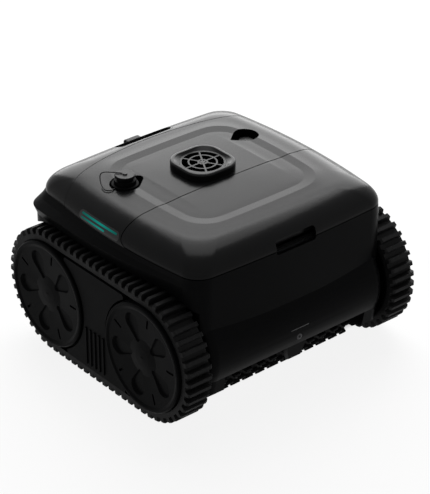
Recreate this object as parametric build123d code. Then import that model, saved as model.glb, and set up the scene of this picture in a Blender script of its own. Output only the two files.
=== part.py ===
from build123d import *
import math
import os

# Cordless tracked pool cleaner. Millimetres, +Z up, front towards -Y, floor at z = 0, middle at x = y = 0.

# Tracks: rubber loops with cross ribs
wheel_base = 200.0
belt_inner_radius = 75.5
belt_thickness = 6.5
rib_height = 8.0
rib_root = 7.0
rib_tip = 4.4
rib_count = 68
rib_bevel = 2.5
belt_width = 38.5
belt_edge = 155.0
guide_width = 7.0
guide_depth = 4.0

# Wheels, hubcaps and axles
drum_gap = 0.5
drum_inset = 2.0
rim_wall = 7.5
groove_play = 1.0
web_thickness = 4.0
web_from_outer = 11.0
hub_radius = 13.0
axle_radius = 6.0
axle_play = 0.05
flange_radius = 18.0
flange_thickness = 3.0
cap_seat = 0.3
end_play = 0.4
cap_radius = 74.4
cap_height = 7.4
cap_spigot = 5.0
cap_floor = 1.6
petal_count = 5
petal_angle = 41.8
petal_tip_radius = 26.0
petal_tip_round = 3.5
petal_end_radius = 48.0
petal_end_round = 11.0
petal_slope = 30.0
slot_radius = 56.0
slot_length = 15.0
slot_width = 3.2
screw_head_radius = 4.5
screw_head_height = 2.6
screw_shank_radius = 2.0
screw_length = 9.0

# Ring gears inside the wheels, and their pinions
gear_module = 2.0
ring_teeth = 70
pinion_teeth = 10
pressure_angle = 20.0
gear_width = 11.0
ring_addendum = 0.9
ring_dedendum = 2.2
pinion_addendum = 1.7
pinion_dedendum = 1.4
backlash = 0.24

# Housing
wall = 3.0
side_wall = 150.5
arch_gap = 4.0
body_half_width = 172.0
body_half_length = 167.5
side_bow = 14.0
end_bow = 5.5
corner_radius = 30.0
seam_height = 213.0
shoulder_width = 50.0
shoulder_rise = 31.0
shoulder_steps = 6
crown_rise = 7.0
crown_steps = 5
crown_spread = 1.3
crown_corner_growth = 8.0
skirt_foot = 130.0
fender_half_width = 179.0
fender_rear_corner = 175.0
fender_rim_half_width = 182.0
fender_rim_rear_corner = 181.0
fender_rim_height = 198.0
fender_neck_height = 205.0
fender_neck_share = 0.35
nose_reach = 178.0
nose_reach_height = 92.0
nose_shoulder = 172.0
nose_shoulder_height = 120.0
nose_top = 150.0
nose_top_height = 165.0
nose_edge = 171.5
nose_corner = 16.0
lip_reach = 168.0
lip_height = 44.0
lip_heel = 128.0
skirt_bottom = 14.0
tail_reach = 172.0
tail_reach_height = 100.0
tail_top = 134.0
tail_ledge = 12.0
tail_corner = 8.0
tub_end_half_width = 136.0
tub_front_end = 140.0
tub_draft = 1.0
window_top = 65.0
window_bottom = 20.0
plate_top = 30.0
plate_thickness = 4.0
plate_step = 12.0
tail_foot = 150.0
window_inner_top = 17.0
window_inner_bottom = 2.0
window_outer_top = 120.0
window_outer_bottom = 118.0
nose_slot_half_width = 16.0
nose_slot_z = 93.0
nose_slot_height = 2.0
nose_slot_depth = 1.4
boss_places = (-40.0, 135.0)
boss_radius = 6.0
boss_top = 60.0
boss_sink = 1.0
post_screw_z = 79.0
screw_sink = 3.5

# Lid, rear deck and rear panel
seam_y = -26.0
lid_gap = 1.4
lid_corner = 12.0
rear_seam_y = 130.0
rear_seam_radius = 425.0
rear_gap = 0.4
recess_half_width = 107.0
recess_front = 111.0
recess_rear = 97.0
recess_band = 15.0
recess_corner = 50.0
recess_depth = 2.2
recess_edge_rise = 1.0
recess_band_rise = 0.9
finger_half_width = 33.0
finger_bottom = 207.0
finger_top = 226.0
finger_round = 4.0
finger_depth = 11.0
hinge_back = 14.0
hinge_height = 243.2
hinge_pin_radius = 1.3
hinge_pin_play = 0.05
knuckle_radius = 3.0
knuckle_width = 11.0
knuckle_gap = 0.6
post_middle = 36.0
post_width = 14.0
post_half_depth = 2.6
relief_top = 246.4
relief_front = 5.0
seal_rib = 2.5
seal_rib_foot = 214.4

# Outlet, charging port, button and status light
outlet_y = 17.0
outlet_size = 76.0
outlet_round = 26.0
outlet_foot = 245.0
outlet_top = 257.0
outlet_throat = 34.0
outlet_bore = 31.0
outlet_seat_play = 0.3
outlet_edge = 3.0
outlet_rim = 5.0
outlet_funnel = 3.4
funnel_throat_share = 0.98
grille_z = 250.5
grille_thickness = 3.0
grille_bar = 2.2
grille_rings = (6.0, 18.6)
grille_rim = 3.4
grille_spokes = 6
grille_hub_share = 0.25
port_x = -104.0
port_y = 48.0
port_well_radius = 20.5
port_well_floor = 236.0
port_tip = 20.0
port_tip_radius = 8.0
port_radius = 18.0
port_top = 245.5
port_bore = 9.0
knurl_count = 30
knurl_depth = 0.9
cap_neck_radius = 11.0
cap_top_radius = 13.5
cap_top_z = 258.5
cap_lip_thickness = 3.2
cap_plug_play = 0.15
cap_plug_depth = 6.0
cap_lift = 0.3
cap_disc_thickness = 1.6
cap_disc_margin = 0.8
eyelet_radius = 3.2
eyelet_height = 1.6
tether_radius = 0.75
tether_route = [
    (-106.3, 50.8, 259.4), (-115.5, 61.5, 259.9), (-124.7, 73.5, 258.0), (-130.6, 66.3, 249.0),
    (-136.0, 50.5, 244.6), (-129.0, 43.0, 245.0), (-122.2, 46.2, 244.6),
]
button_x = 104.0
button_y = 52.0
button_well_radius = 17.5
button_well_floor = 231.0
button_tip = -25.0
button_tip_radius = 1.5
button_radius = 10.5
button_height = 3.4
button_play = 0.15
button_stem_radius = 4.0
button_travel_room = 2.0
button_stem = 5.0
well_wall = 2.5
light_y = 18.5
light_z = 219.8
light_length = 84.0
light_width = 12.4
light_play = 0.1
bar_width = 2.6
bar_spacing = 5.4
upper_bar = 74.0
lower_bar = 50.0

# Rear panel: carrying slot with its well, and the lug behind it
handle_y = 143.0
handle_length = 92.0
handle_width = 18.0
handle_floor = 212.0
handle_wall = 2.5
handle_play = 0.15
lug_half_width = 13.0
lug_reach = 171.0
lug_bottom = 214.0
lug_top = 229.0
lug_round = 3.0

# Brush
brush_y = -107.0
brush_radius = 30.0
brush_core_radius = 14.0
brush_base_radius = 17.0
brush_blade = 3.0
brush_blades = 5
brush_segment = 40.0
brush_segment_gap = 2.5
brush_segments = 3
brush_rows = 4
brush_inner_end = 1.9
brush_shaft_radius = 6.0
brush_pin_radius = 5.0
brush_pin_depth = 14.0
sleeve_play = 0.1
bay_half_width = 140.0
bay_front = 160.0
bay_rear = 76.0
bay_top = 66.0
hanger_thickness = 2.4
hanger_half_depth = 12.0

# Drive gearmotors
motor_angle = 200.0
motor_radius = 18.0
motor_length = 34.0
gearbox_radius = 21.0
gearbox_length = 30.0
motor_shaft_radius = 4.0
motor_shaft_depth = 16.0

# Filter chamber, basket and inlet
chamber_half_width = 120.0
chamber_front = 155.0
chamber_rear = 52.0
chamber_floor = 69.0
chamber_top = 206.0
chamber_wall = 2.5
chamber_rim = 3.0
chamber_rim_width = 3.0
chamber_rear_rim = 16.0
beam_height = 6.0
beam_depth = 6.6
suction_radius = 30.0
suction_z = 165.0
gasket_height = 2.4
gasket_width = 5.0
basket_gap = 1.5
basket_wall = 2.2
basket_height = 131.0
basket_rim = 4.0
basket_window_margin = 12.0
basket_long_windows = 4
basket_short_windows = 2
mesh_thickness = 0.8
mesh_play = 0.1
inlet_half_width = 55.0
inlet_depth = 9.6
inlet_y = -65.7
inlet_wall = 2.2
inlet_rise = 12.0
flap_thickness = 2.0
flap_pin_radius = 1.5
flap_barrel_radius = 2.6
flap_play = 0.05
flap_lift = 0.3
flap_ear = 4.0

# Pump, battery and control box
duct_radius = 37.0
duct_wall = 3.0
duct_floor = 118.0
deck_boss_foot = 234.0
pump_motor_radius = 24.0
pump_motor_top = 205.0
strut_thickness = 3.0
strut_count = 3
sleeve_wall = 2.0
impeller_hub = 11.0
impeller_radius = 34.5
impeller_foot = 211.0
impeller_height = 22.0
impeller_blades = 4
impeller_twist = 32.0
impeller_blade = 2.2
pump_shaft_radius = 3.0
battery_size = (136.0, 86.0, 62.0)
battery_y = 106.0
battery_round = 10.0
control_size = (116.0, 70.0, 30.0)
control_round = 6.0

# Side panels
panel_thickness = 4.0
panel_proud = 2.0
panel_gap = 2.0
panel_wheel_gap = 3.0
panel_half_length = 62.0
panel_post_radius = 8.0
panel_rib_count = 5
panel_rib_pitch = 9.0
panel_rib_width = 3.0
panel_rib_height = 1.6
panel_rib_top = 78.0

# Sizes that follow from the ones above
belt_outer_radius = belt_inner_radius + belt_thickness
axle_z = belt_outer_radius + rib_height
front_axle = (-wheel_base / 2, axle_z)
rear_axle = (wheel_base / 2, axle_z)
drum_radius = belt_inner_radius - drum_gap
drum_in = belt_edge + drum_inset
drum_out = belt_edge + belt_width - drum_inset
ring_pitch = gear_module * ring_teeth / 2
pinion_pitch = gear_module * pinion_teeth / 2
mesh_distance = ring_pitch - pinion_pitch
gear_in = drum_in + end_play
gear_out = drum_in + gear_width
brush_drop = math.sqrt(mesh_distance ** 2 - (brush_y - front_axle[0]) ** 2)
brush_axis = (brush_y, axle_z - brush_drop)
brush_angle = math.degrees(math.atan2(brush_axis[1] - front_axle[1], brush_axis[0] - front_axle[0]))
motor_y = rear_axle[0] + mesh_distance * math.cos(math.radians(motor_angle))
motor_z = rear_axle[1] + mesh_distance * math.sin(math.radians(motor_angle))
arch_radius = axle_z + arch_gap
tub_half_width = side_wall - wall
hinge_y = seam_y - hinge_back
seam_top = seam_height - lid_gap
far = 600.0

parts = {}


def at(y, z):
    return Pos(0, y, z)


def along_x(profile, start, end):
    """Extrude a sketch drawn in y and z from one x to another."""
    return extrude(Plane.YZ.offset(start) * profile, end - start)


def turned(points):
    """Revolve an outline of (x, radius) points about the X axis."""
    return revolve(make_face(Polyline(*points, close=True)), Axis.X)


def rod(radius, start, end):
    """A round bar along X."""
    return along_x(Circle(radius), start, end)


def block(x0, x1, y0, y1, z0, z1):
    """A box between two corners."""
    return Pos((x0 + x1) / 2, (y0 + y1) / 2, (z0 + z1) / 2) * Box(x1 - x0, y1 - y0, z1 - z0)


def left_of(shape):
    return mirror(shape, about=Plane.YZ)


def common(first, second):
    """What two solids share."""
    return Part() + first.intersect(second)


def post(radius, x, y, z0, z1):
    """A round bar along Z."""
    return Pos(x, y, (z0 + z1) / 2) * Cylinder(radius, z1 - z0)


def involute(angle):
    return math.tan(angle) - angle


def gear_outline(teeth, tip_radius, root_radius, extra_width, flank_steps, turn):
    """Closed tooth outline, with the first tooth's middle at the given angle in degrees."""
    pitch = gear_module * teeth / 2
    base = pitch * math.cos(math.radians(pressure_angle))
    half_at_pitch = math.pi / (2 * teeth) + extra_width / (2 * pitch)
    start = half_at_pitch + involute(math.radians(pressure_angle))
    flank = []
    for step in range(flank_steps + 1):
        radius = root_radius + (tip_radius - root_radius) * step / flank_steps
        lean = involute(math.acos(base / max(radius, base)))
        flank.append((radius, start - lean))
    points = []
    for tooth in range(teeth):
        middle = math.radians(turn) + 2 * math.pi * tooth / teeth
        rising = [(radius, middle - half) for radius, half in flank]
        falling = [(radius, middle + half) for radius, half in reversed(flank)]
        for radius, angle in rising + falling:
            points.append((radius * math.cos(angle), radius * math.sin(angle)))
    return make_face(Polyline(*points, close=True))


def stadium(radius):
    """The loop that the belt follows, as a face at a distance from the wheel centres."""
    return at_loop * SlotCenterToCenter(wheel_base, 2 * radius)


at_loop = Pos(0, axle_z)


# Tracks
def loop_point(distance, height):
    """Point on the belt's outer face at a distance along it, raised by a height."""
    bend = math.pi * belt_outer_radius
    distance = distance % (2 * wheel_base + 2 * bend)
    radius = belt_outer_radius + height
    if distance < wheel_base:
        return (distance - wheel_base / 2, axle_z - radius)
    distance -= wheel_base
    if distance < bend:
        angle = distance / belt_outer_radius - math.pi / 2
        return (wheel_base / 2 + radius * math.cos(angle), axle_z + radius * math.sin(angle))
    distance -= bend
    if distance < wheel_base:
        return (wheel_base / 2 - distance, axle_z + radius)
    angle = (distance - wheel_base) / belt_outer_radius + math.pi / 2
    return (-wheel_base / 2 + radius * math.cos(angle), axle_z + radius * math.sin(angle))


def track():
    pitch = (2 * wheel_base + 2 * math.pi * belt_outer_radius) / rib_count
    points = []
    for rib in range(rib_count):
        middle = wheel_base / 2 + rib * pitch
        points.append(loop_point(middle - rib_root / 2, 0))
        points.append(loop_point(middle - rib_tip / 2, rib_height))
        points.append(loop_point(middle + rib_tip / 2, rib_height))
        points.append(loop_point(middle + rib_root / 2, 0))
    outline = make_face(Polyline(*points, close=True))
    belt_out = belt_edge + belt_width
    belt = along_x(outline - stadium(belt_inner_radius), belt_edge, belt_out)
    tread = along_x(stadium(axle_z + rib_bevel), belt_edge, belt_out)
    ends = tread.faces().filter_by(Axis.X)
    tread = chamfer([edge for face in ends for edge in face.edges()], 2 * rib_bevel)
    guide_in = belt_edge + (belt_width - guide_width) / 2
    inner = belt_inner_radius - guide_depth
    guide_loop = stadium(belt_inner_radius + belt_thickness / 2) - stadium(inner)
    return common(belt, tread) + along_x(guide_loop, guide_in, guide_in + guide_width)


# Wheels with their ring gears, hubcaps, axles and screws, about the X axis
def wheel(mesh_angle):
    guide_in = belt_edge + (belt_width - guide_width) / 2
    groove_in = guide_in - groove_play
    groove_out = guide_in + guide_width + groove_play
    groove_radius = belt_inner_radius - guide_depth - groove_play
    rim_in = drum_radius - rim_wall
    web_out = drum_out - web_from_outer
    hub_in = belt_edge + flange_thickness + end_play
    hub_out = drum_out - cap_spigot - screw_head_height
    bore = axle_radius + axle_play
    drum = turned([
        (drum_in, rim_in), (drum_in, drum_radius), (groove_in, drum_radius), (groove_in, groove_radius),
        (groove_out, groove_radius), (groove_out, drum_radius), (drum_out, drum_radius),
        (drum_out, rim_in), (web_out, rim_in), (web_out, hub_radius), (hub_out, hub_radius),
        (hub_out, bore), (hub_in, bore), (hub_in, hub_radius),
        (web_out - web_thickness, hub_radius), (web_out - web_thickness, rim_in),
    ])
    space = gear_outline(ring_teeth, ring_pitch + ring_dedendum, ring_pitch - ring_addendum,
                         backlash / 2, 1, mesh_angle)
    return drum - along_x(space, drum_in - 1, gear_out)


def hubcap():
    face = drum_out + cap_height
    rim_in = drum_radius - rim_wall - cap_seat
    dish = turned([
        (drum_out - cap_spigot, rim_in - wall), (drum_out - cap_spigot, rim_in), (drum_out, rim_in),
        (drum_out, cap_radius), (face - 1.6, cap_radius), (face, cap_radius - 1.6),
        (face, cap_radius - 4.0), (face - 1.6, cap_radius - 8.0), (face - 4.0, petal_tip_radius),
        (face - 2.4, hub_radius), (face - 1.6, 0.0), (drum_out, 0.0), (drum_out, rim_in - wall),
    ])
    petal = make_hull([
        *(Pos(petal_tip_radius, 0) * Circle(petal_tip_round)).edges(),
        *(Pos(petal_end_radius, 0) * Circle(petal_end_round)).edges(),
    ])
    slit = Pos(slot_radius, 0) * SlotOverall(slot_length, slot_width)
    petal_plane = Plane.YZ.offset(drum_out + cap_floor)
    for number in range(petal_count):
        turn = 180 - petal_angle + 360 / petal_count * number
        half_step = 180 / petal_count
        dish -= extrude(petal_plane * Rot(0, 0, turn) * petal, cap_height, taper=-petal_slope)
        dish -= along_x(Rot(0, 0, turn + half_step) * slit, drum_out + 2 * cap_floor, face + 1)
    return dish


def axle():
    bolted = belt_edge + flange_thickness
    end = drum_out - cap_spigot - screw_head_height + end_play
    body = rod(flange_radius, side_wall, side_wall + flange_thickness)
    body += rod(hub_radius, side_wall, bolted)
    body += rod(axle_radius, side_wall, end)
    return body - rod(screw_shank_radius, end - screw_length, end)


def axle_screw():
    end = drum_out - cap_spigot - screw_head_height + end_play
    washer = rod(axle_radius + screw_head_radius, end, end + screw_head_height / 2)
    head = rod(screw_head_radius, end, end + screw_head_height)
    return washer + head + rod(screw_shank_radius, end - screw_length, end)


def pinion(turn):
    outline = gear_outline(pinion_teeth, pinion_pitch + pinion_addendum, pinion_pitch - pinion_dedendum,
                           -backlash / 2, 5, turn)
    return along_x(outline, gear_in, gear_out)


right_track = track()
parts["track_right"] = right_track
parts["track_left"] = left_of(right_track)
cap = hubcap()
axle_body = axle()
screws = []
wheel_ends = (("front", front_axle, brush_angle), ("rear", rear_axle, motor_angle))
for end_name, (wheel_y, wheel_z), mesh in wheel_ends:
    place = at(wheel_y, wheel_z)
    for name, piece in (("wheel", wheel(mesh)), ("hubcap", cap), ("axle", axle_body)):
        placed = place * piece
        parts[f"{name}_{end_name}_right"] = placed
        parts[f"{name}_{end_name}_left"] = left_of(placed)
    screw = place * axle_screw()
    screws += [screw, left_of(screw)]
parts["axle_screws"] = Compound(children=screws)


# Side panels between the wheels, on posts from the housing
def side_panel():
    outer = belt_edge + belt_width + panel_proud
    inner = outer - panel_thickness
    half_height = belt_inner_radius - panel_gap
    shape = Rectangle(2 * panel_half_length, 2 * half_height)
    for wheel_y in (front_axle[0], rear_axle[0]):
        shape -= Pos(wheel_y, 0) * Circle(cap_radius + panel_wheel_gap)
    shape = fillet(shape.vertices(), 3)
    panel = along_x(at_loop * shape, inner, outer)
    rib_foot = axle_z - half_height + 6
    for number in range(panel_rib_count):
        y = (number - (panel_rib_count - 1) / 2) * panel_rib_pitch
        panel += block(outer, outer + panel_rib_height, y - panel_rib_width / 2, y + panel_rib_width / 2,
                       rib_foot, panel_rib_top)
    for z in (axle_z - half_height / 2, axle_z + half_height / 2):
        panel += at(0, z) * rod(panel_post_radius, side_wall, inner)
    return panel


panel = side_panel()
parts["side_panel_right"] = panel
parts["side_panel_left"] = left_of(panel)


# Housing: plan outlines with bowed sides, lofted up to a crown
def plan_face(z, front_x, middle_x, rear_x, length, bow, corner):
    """A plan outline at a height: bowed front, sides and rear, with rounded corners."""
    front = -(length - bow)
    rear = length - bow
    outline = [
        ThreePointArc((-front_x, front), (0, -length), (front_x, front)),
        ThreePointArc((front_x, front), (middle_x, 0), (rear_x, rear)),
        ThreePointArc((rear_x, rear), (0, length), (-rear_x, rear)),
        ThreePointArc((-rear_x, rear), (-middle_x, 0), (-front_x, front)),
    ]
    face = make_face(outline)
    return Pos(0, 0, z) * fillet(face.vertices(), corner)


def pod_face(z, inset, corner):
    """A section of the upper body, drawn in from its widest by an inset."""
    share = 1 - inset / body_half_width
    corner_x = body_half_width - inset - side_bow * share
    return plan_face(z, corner_x, body_half_width - inset, corner_x, body_half_length - inset,
                     end_bow * share, corner)


def pod(inset):
    """The upper body's solid form, with its skin moved in by an inset."""
    sections = []
    for step in range(shoulder_steps + 1):
        turn = math.pi / 2 * step / shoulder_steps
        drawn_in = shoulder_width * (1 - math.cos(turn)) + inset * math.cos(turn)
        z = seam_height + (shoulder_rise - inset) * math.sin(turn)
        sections.append(pod_face(z, drawn_in, corner_radius + crown_corner_growth * (1 - math.cos(turn))))
    flat_half = body_half_width - shoulder_width
    top = seam_height + shoulder_rise - inset
    for step in range(1, crown_steps + 1):
        share = 1 - (step / (crown_steps + 1)) ** crown_spread
        corner = (corner_radius + crown_corner_growth) * share
        z = top + crown_rise * (1 - share ** 2)
        sections.append(pod_face(z, body_half_width - flat_half * share, corner))
    foot = extrude(sections[0], -(seam_height - fender_neck_height))
    return loft(sections) + foot


def recess_face(z, inset):
    """The outline of the sunk top panel, drawn in by an inset."""
    length = recess_front + recess_rear - 2 * inset
    shape = RectangleRounded(2 * (recess_half_width - inset), length, recess_corner - inset)
    return Pos(0, (recess_rear - recess_front) / 2, z) * shape


outer_pod = pod(0)
recess_edge = seam_height + shoulder_rise + recess_edge_rise
recess_low = recess_edge - recess_band_rise
recess_high = recess_edge + recess_band_rise
recess_cut = loft([recess_face(recess_low, recess_band), recess_face(recess_high, -recess_band)], ruled=True)
recess_cut += extrude(recess_face(recess_high, -recess_band), 2 * crown_rise)
recess_cut -= pod(recess_depth)
recess_prism = extrude(recess_face(seam_height, -recess_band), far)
recess_skin = common(outer_pod - pod(wall + recess_depth), recess_prism)
shell = outer_pod - pod(wall) + recess_skin - recess_cut


def lower_housing():
    rear_corner = body_half_width - side_bow
    neck_half = body_half_width + fender_neck_share * (fender_rim_half_width - body_half_width)
    neck_rear = rear_corner + fender_neck_share * (fender_rim_rear_corner - rear_corner)
    skirt_face = plan_face(skirt_foot, rear_corner, fender_half_width, fender_rear_corner,
                           body_half_length, end_bow, corner_radius)
    rise = arch_radius + axle_z - skirt_foot + 1
    edge_face = Pos(0, 0, rise) * skirt_face
    rim_face = plan_face(fender_rim_height, rear_corner, fender_rim_half_width, fender_rim_rear_corner,
                         body_half_length, end_bow, corner_radius)
    neck_face = plan_face(fender_neck_height, rear_corner, neck_half, neck_rear,
                          body_half_length, end_bow, corner_radius)
    top_face = pod_face(seam_top, 0, corner_radius)
    body = extrude(skirt_face, rise)
    body += loft([edge_face, rim_face, neck_face, top_face], ruled=True)
    plate_bottom = plate_top - plate_thickness
    nose_curve = ThreePointArc((-nose_shoulder, nose_shoulder_height), (-nose_reach, nose_reach_height),
                               (-nose_edge, window_top))
    floor_lines = Polyline((-nose_edge, window_top), (-lip_reach, lip_height), (-lip_heel, skirt_bottom),
                           (-bay_rear, skirt_bottom), (-bay_rear + plate_step, plate_bottom),
                           (tail_foot, plate_bottom))
    tail_curve = ThreePointArc((tail_foot, plate_bottom), (tail_reach, tail_reach_height),
                               (body_half_length, tail_top))
    roof_lines = Polyline((body_half_length, tail_top), (body_half_length - tail_ledge, tail_top),
                          (-nose_top, nose_top_height), (-nose_shoulder, nose_shoulder_height))
    lower = along_x(make_face([nose_curve, floor_lines, tail_curve, roof_lines]), -side_wall, side_wall)
    side_edges = lower.edges().filter_by(lambda edge: abs(abs(edge.center().X) - side_wall) < 0.01)
    lower = fillet(side_edges.filter_by(lambda edge: edge.center().Y < -nose_top), nose_corner)
    side_edges = lower.edges().filter_by(lambda edge: abs(abs(edge.center().X) - side_wall) < 0.01)
    tail_edges = side_edges.filter_by(lambda edge: edge.center().Y > tail_foot)
    body += fillet(tail_edges.sort_by(Axis.Z)[:2], tail_corner)
    tub_end = body_half_length - end_bow - wall
    tub_foot = nose_edge - wall - tub_draft
    tub_rear_end = tail_foot - wall
    tub_front = ThreePointArc((-nose_shoulder + wall, nose_shoulder_height - wall),
                              (-nose_reach + wall, nose_reach_height), (-tub_foot, chamber_floor))
    tub_floor = Polyline((-tub_foot, chamber_floor), (-bay_rear + wall, chamber_floor),
                         (-bay_rear + wall, skirt_bottom - 1), (tub_rear_end, skirt_bottom - 1),
                         (tub_rear_end, plate_bottom))
    tub_rear = ThreePointArc((tub_rear_end, plate_bottom), (tail_reach - wall, tail_reach_height),
                             (body_half_length - wall, tail_top - wall))
    tub_roof = Polyline((body_half_length - wall, tail_top - wall), (tub_end, tail_top - wall),
                        (tub_end, seam_height), (-tub_end, seam_height),
                        (-tub_end, nose_shoulder_height - wall),
                        (-nose_shoulder + wall, nose_shoulder_height - wall))
    tub_face = make_face([tub_front, tub_floor, tub_rear, tub_roof])
    body -= along_x(tub_face, -tub_end_half_width, tub_end_half_width)
    body -= common(along_x(tub_face, -tub_half_width, tub_half_width),
                   block(-far, far, -tub_front_end, tub_rear_end, 0, far))
    body -= extrude(pod_face(arch_radius + axle_z + wall, wall, corner_radius - wall), far)
    for side in (1, -1):
        arch = along_x(stadium(arch_radius), side * side_wall, side * (side_wall + far))
        body -= arch
    body -= block(-bay_half_width, bay_half_width, -bay_front, -bay_rear, -1, bay_top)
    for side in (1, -1):
        window = make_face(Polyline(
            (side * window_inner_top, window_top), (side * window_outer_top, window_top),
            (side * window_outer_bottom, window_bottom), (side * window_inner_bottom, window_bottom),
            close=True))
        body -= extrude(Plane.XZ.offset(bay_front - wall) * window, far)
    return body


def screw_y(radius_place, head_y):
    """A screw driven in along +Y, with its head at a y."""
    head = extrude(Plane.XZ.offset(-head_y) * Circle(screw_head_radius), -screw_head_height)
    shank = extrude(Plane.XZ.offset(-head_y) * Circle(screw_shank_radius), -screw_length)
    return radius_place * (head + shank)


housing = lower_housing()
motor_place = at(motor_y, motor_z)
brush_place = at(*brush_axis)
boss_x = tub_half_width - boss_radius + boss_sink
through = side_wall + 1
for side in (1, -1):
    housing -= brush_place * rod(brush_shaft_radius + axle_play, side * (bay_half_width - 1), side * through)
    housing -= motor_place * rod(motor_shaft_radius + axle_play, side * (tub_half_width - 1), side * through)
    for boss_y in boss_places:
        housing += post(boss_radius, side * boss_x, boss_y, plate_top, boss_top)
        housing -= post(screw_shank_radius, side * boss_x, boss_y, plate_top, boss_top - wall)
finger = Plane.XZ.offset(body_half_length - finger_depth) * (
    Pos(0, (finger_bottom + finger_top) / 2)
    * RectangleRounded(2 * finger_half_width, finger_top - finger_bottom, finger_round))
finger_cut = extrude(finger, 2 * finger_depth)
housing -= finger_cut
seat_plane = Plane.XZ.offset(nose_reach - screw_sink) * Pos(0, post_screw_z)
housing -= extrude(seat_plane * Circle(screw_head_radius + cap_seat), far)
housing -= extrude(seat_plane * Circle(screw_shank_radius), -screw_length)
nose_slot_low = nose_slot_z - nose_slot_height / 2
housing -= block(-nose_slot_half_width, nose_slot_half_width, -far, -nose_reach + nose_slot_depth,
                 nose_slot_low, nose_slot_low + nose_slot_height)
parts["lower_housing"] = housing
parts["post_screw"] = screw_y(Pos(0, 0, post_screw_z), -nose_reach + screw_sink - screw_head_height)


# Bottom plate with its suction slot and screws
plate_rear = tail_foot - wall - cap_seat
plate_front = bay_rear - wall - cap_seat
plate = block(-tub_half_width + cap_seat, tub_half_width - cap_seat, -plate_front, plate_rear,
              plate_top - plate_thickness, plate_top)
plate -= block(-inlet_half_width, inlet_half_width, inlet_y - inlet_depth / 2, inlet_y + inlet_depth / 2,
               0, plate_top + 1)
bottom_screws = []
for side in (1, -1):
    for boss_y in boss_places:
        x = side * boss_x
        head_top = plate_top - plate_thickness + screw_head_height
        plate -= post(screw_head_radius + cap_seat, x, boss_y, 0, head_top)
        plate -= post(screw_shank_radius + cap_seat, x, boss_y, 0, plate_top + 1)
        screw = post(screw_head_radius, x, boss_y, plate_top - plate_thickness, head_top)
        screw += post(screw_shank_radius, x, boss_y, head_top, head_top + screw_length)
        bottom_screws.append(screw)
parts["bottom_plate"] = plate
parts["bottom_screws"] = Compound(children=bottom_screws)


# Lid, cut from the upper body's shell along the seams
def lid_zone(grow):
    """The lid's space in the side view, grown by a gap."""
    rear = seam_y - lid_gap + grow
    foot = seam_height - grow
    zone = make_face(Polyline((-far, foot), (rear, foot), (rear, far), (-far, far), close=True))
    corner = max(zone.vertices(), key=lambda vertex: vertex.X - vertex.Y)
    return along_x(fillet(corner, lid_corner + grow), -far, far)


lid = common(shell, lid_zone(0))
seal_y = -(chamber_front + chamber_rear) / 2
seal_width = 2 * chamber_half_width - chamber_wall
seal_length = chamber_front - chamber_rear - chamber_wall
seal_outline = Rectangle(seal_width + seal_rib, seal_length + seal_rib)
seal_outline -= Rectangle(seal_width - seal_rib, seal_length - seal_rib)
seal = extrude(Pos(0, seal_y, seal_rib_foot) * seal_outline, far)
lid += common(seal, pod(wall / 2)) - recess_cut
lid -= finger_cut
hinge_place = at(hinge_y, hinge_height)
knuckle_start = post_width / 2 + knuckle_gap
pin_hole = knuckle_start + knuckle_width
for side in (1, -1):
    for step in (1, -1):
        start = side * post_middle + step * knuckle_start
        lid += common(hinge_place * rod(knuckle_radius, start, start + step * knuckle_width), outer_pod)
        lid -= hinge_place * rod(hinge_pin_radius + hinge_pin_play, side * post_middle - pin_hole,
                             side * post_middle + pin_hole)
    lid -= block(side * post_middle - knuckle_start, side * post_middle + knuckle_start,
                 hinge_y - relief_front, seam_y, hinge_height - 2 * knuckle_radius, relief_top)
parts["lid"] = lid

# Hinge bracket on the filter chamber, and its pins
beam_end = post_middle + post_width / 2
bracket = block(-beam_end, beam_end, hinge_y - beam_depth / 2, hinge_y + beam_depth / 2,
                chamber_top, chamber_top + beam_height)
pins = []
for side in (1, -1):
    low = side * post_middle - post_width / 2
    high = side * post_middle + post_width / 2
    bracket += block(low, high, hinge_y - post_half_depth, hinge_y + post_half_depth,
                     chamber_top, hinge_height)
    bracket += hinge_place * rod(post_half_depth, low, high)
    bracket -= hinge_place * rod(hinge_pin_radius + hinge_pin_play, low - 1, high + 1)
    pins.append(hinge_place * rod(hinge_pin_radius, side * post_middle - pin_hole,
                                  side * post_middle + pin_hole))
parts["lid_hinge_bracket"] = bracket
parts["lid_hinge_pins"] = Compound(children=pins)


# Rear deck with the outlet opening, charging well, button well and light window
def well_face(x, y, radius, tip, tip_radius):
    """A round well's outline, drawn out sideways to a smaller round tip."""
    return make_hull([
        *(Pos(x, y) * Circle(radius)).edges(),
        *(Pos(x + tip, y) * Circle(tip_radius)).edges(),
    ])


rear_circle = Pos(0, rear_seam_y - rear_seam_radius) * Circle(rear_seam_radius)
rear_inside = extrude(rear_circle, far)
deck_space = extrude(Pos(0, rear_seam_y - rear_seam_radius) * Circle(rear_seam_radius - rear_gap), far)
above_seam = block(-far, far, -far, far, seam_top, far)
upper_shell = common(shell, above_seam)
deck = common(upper_shell - lid_zone(lid_gap), deck_space)
deck += common(post(duct_radius + duct_wall, 0, outlet_y, deck_boss_foot, far), pod(wall / 2))
port_well = well_face(port_x, port_y, port_well_radius, port_tip, port_tip_radius)
button_well = well_face(button_x, button_y, button_well_radius, button_tip, button_tip_radius)
wells = ((port_well, port_well_floor), (button_well, button_well_floor))
for outline, floor in wells:
    deck += common(extrude(Pos(0, 0, floor - well_wall) * offset(outline, well_wall), far), outer_pod)
deck -= recess_cut
for outline, floor in wells:
    deck -= extrude(Pos(0, 0, floor) * outline, far)
outlet_square = RectangleRounded(outlet_size, outlet_size, outlet_round)
deck -= post(outlet_throat, 0, outlet_y, 0, far)
deck -= extrude(Pos(0, outlet_y, outlet_foot) * offset(outlet_square, outlet_seat_play), far)
deck -= post(button_stem_radius + button_play, button_x, button_y, 0, far)


def light_prism(length, width, middle_y, middle_z):
    return along_x(Pos(middle_y, middle_z) * SlotOverall(length, width), -far, -side_wall)


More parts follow.
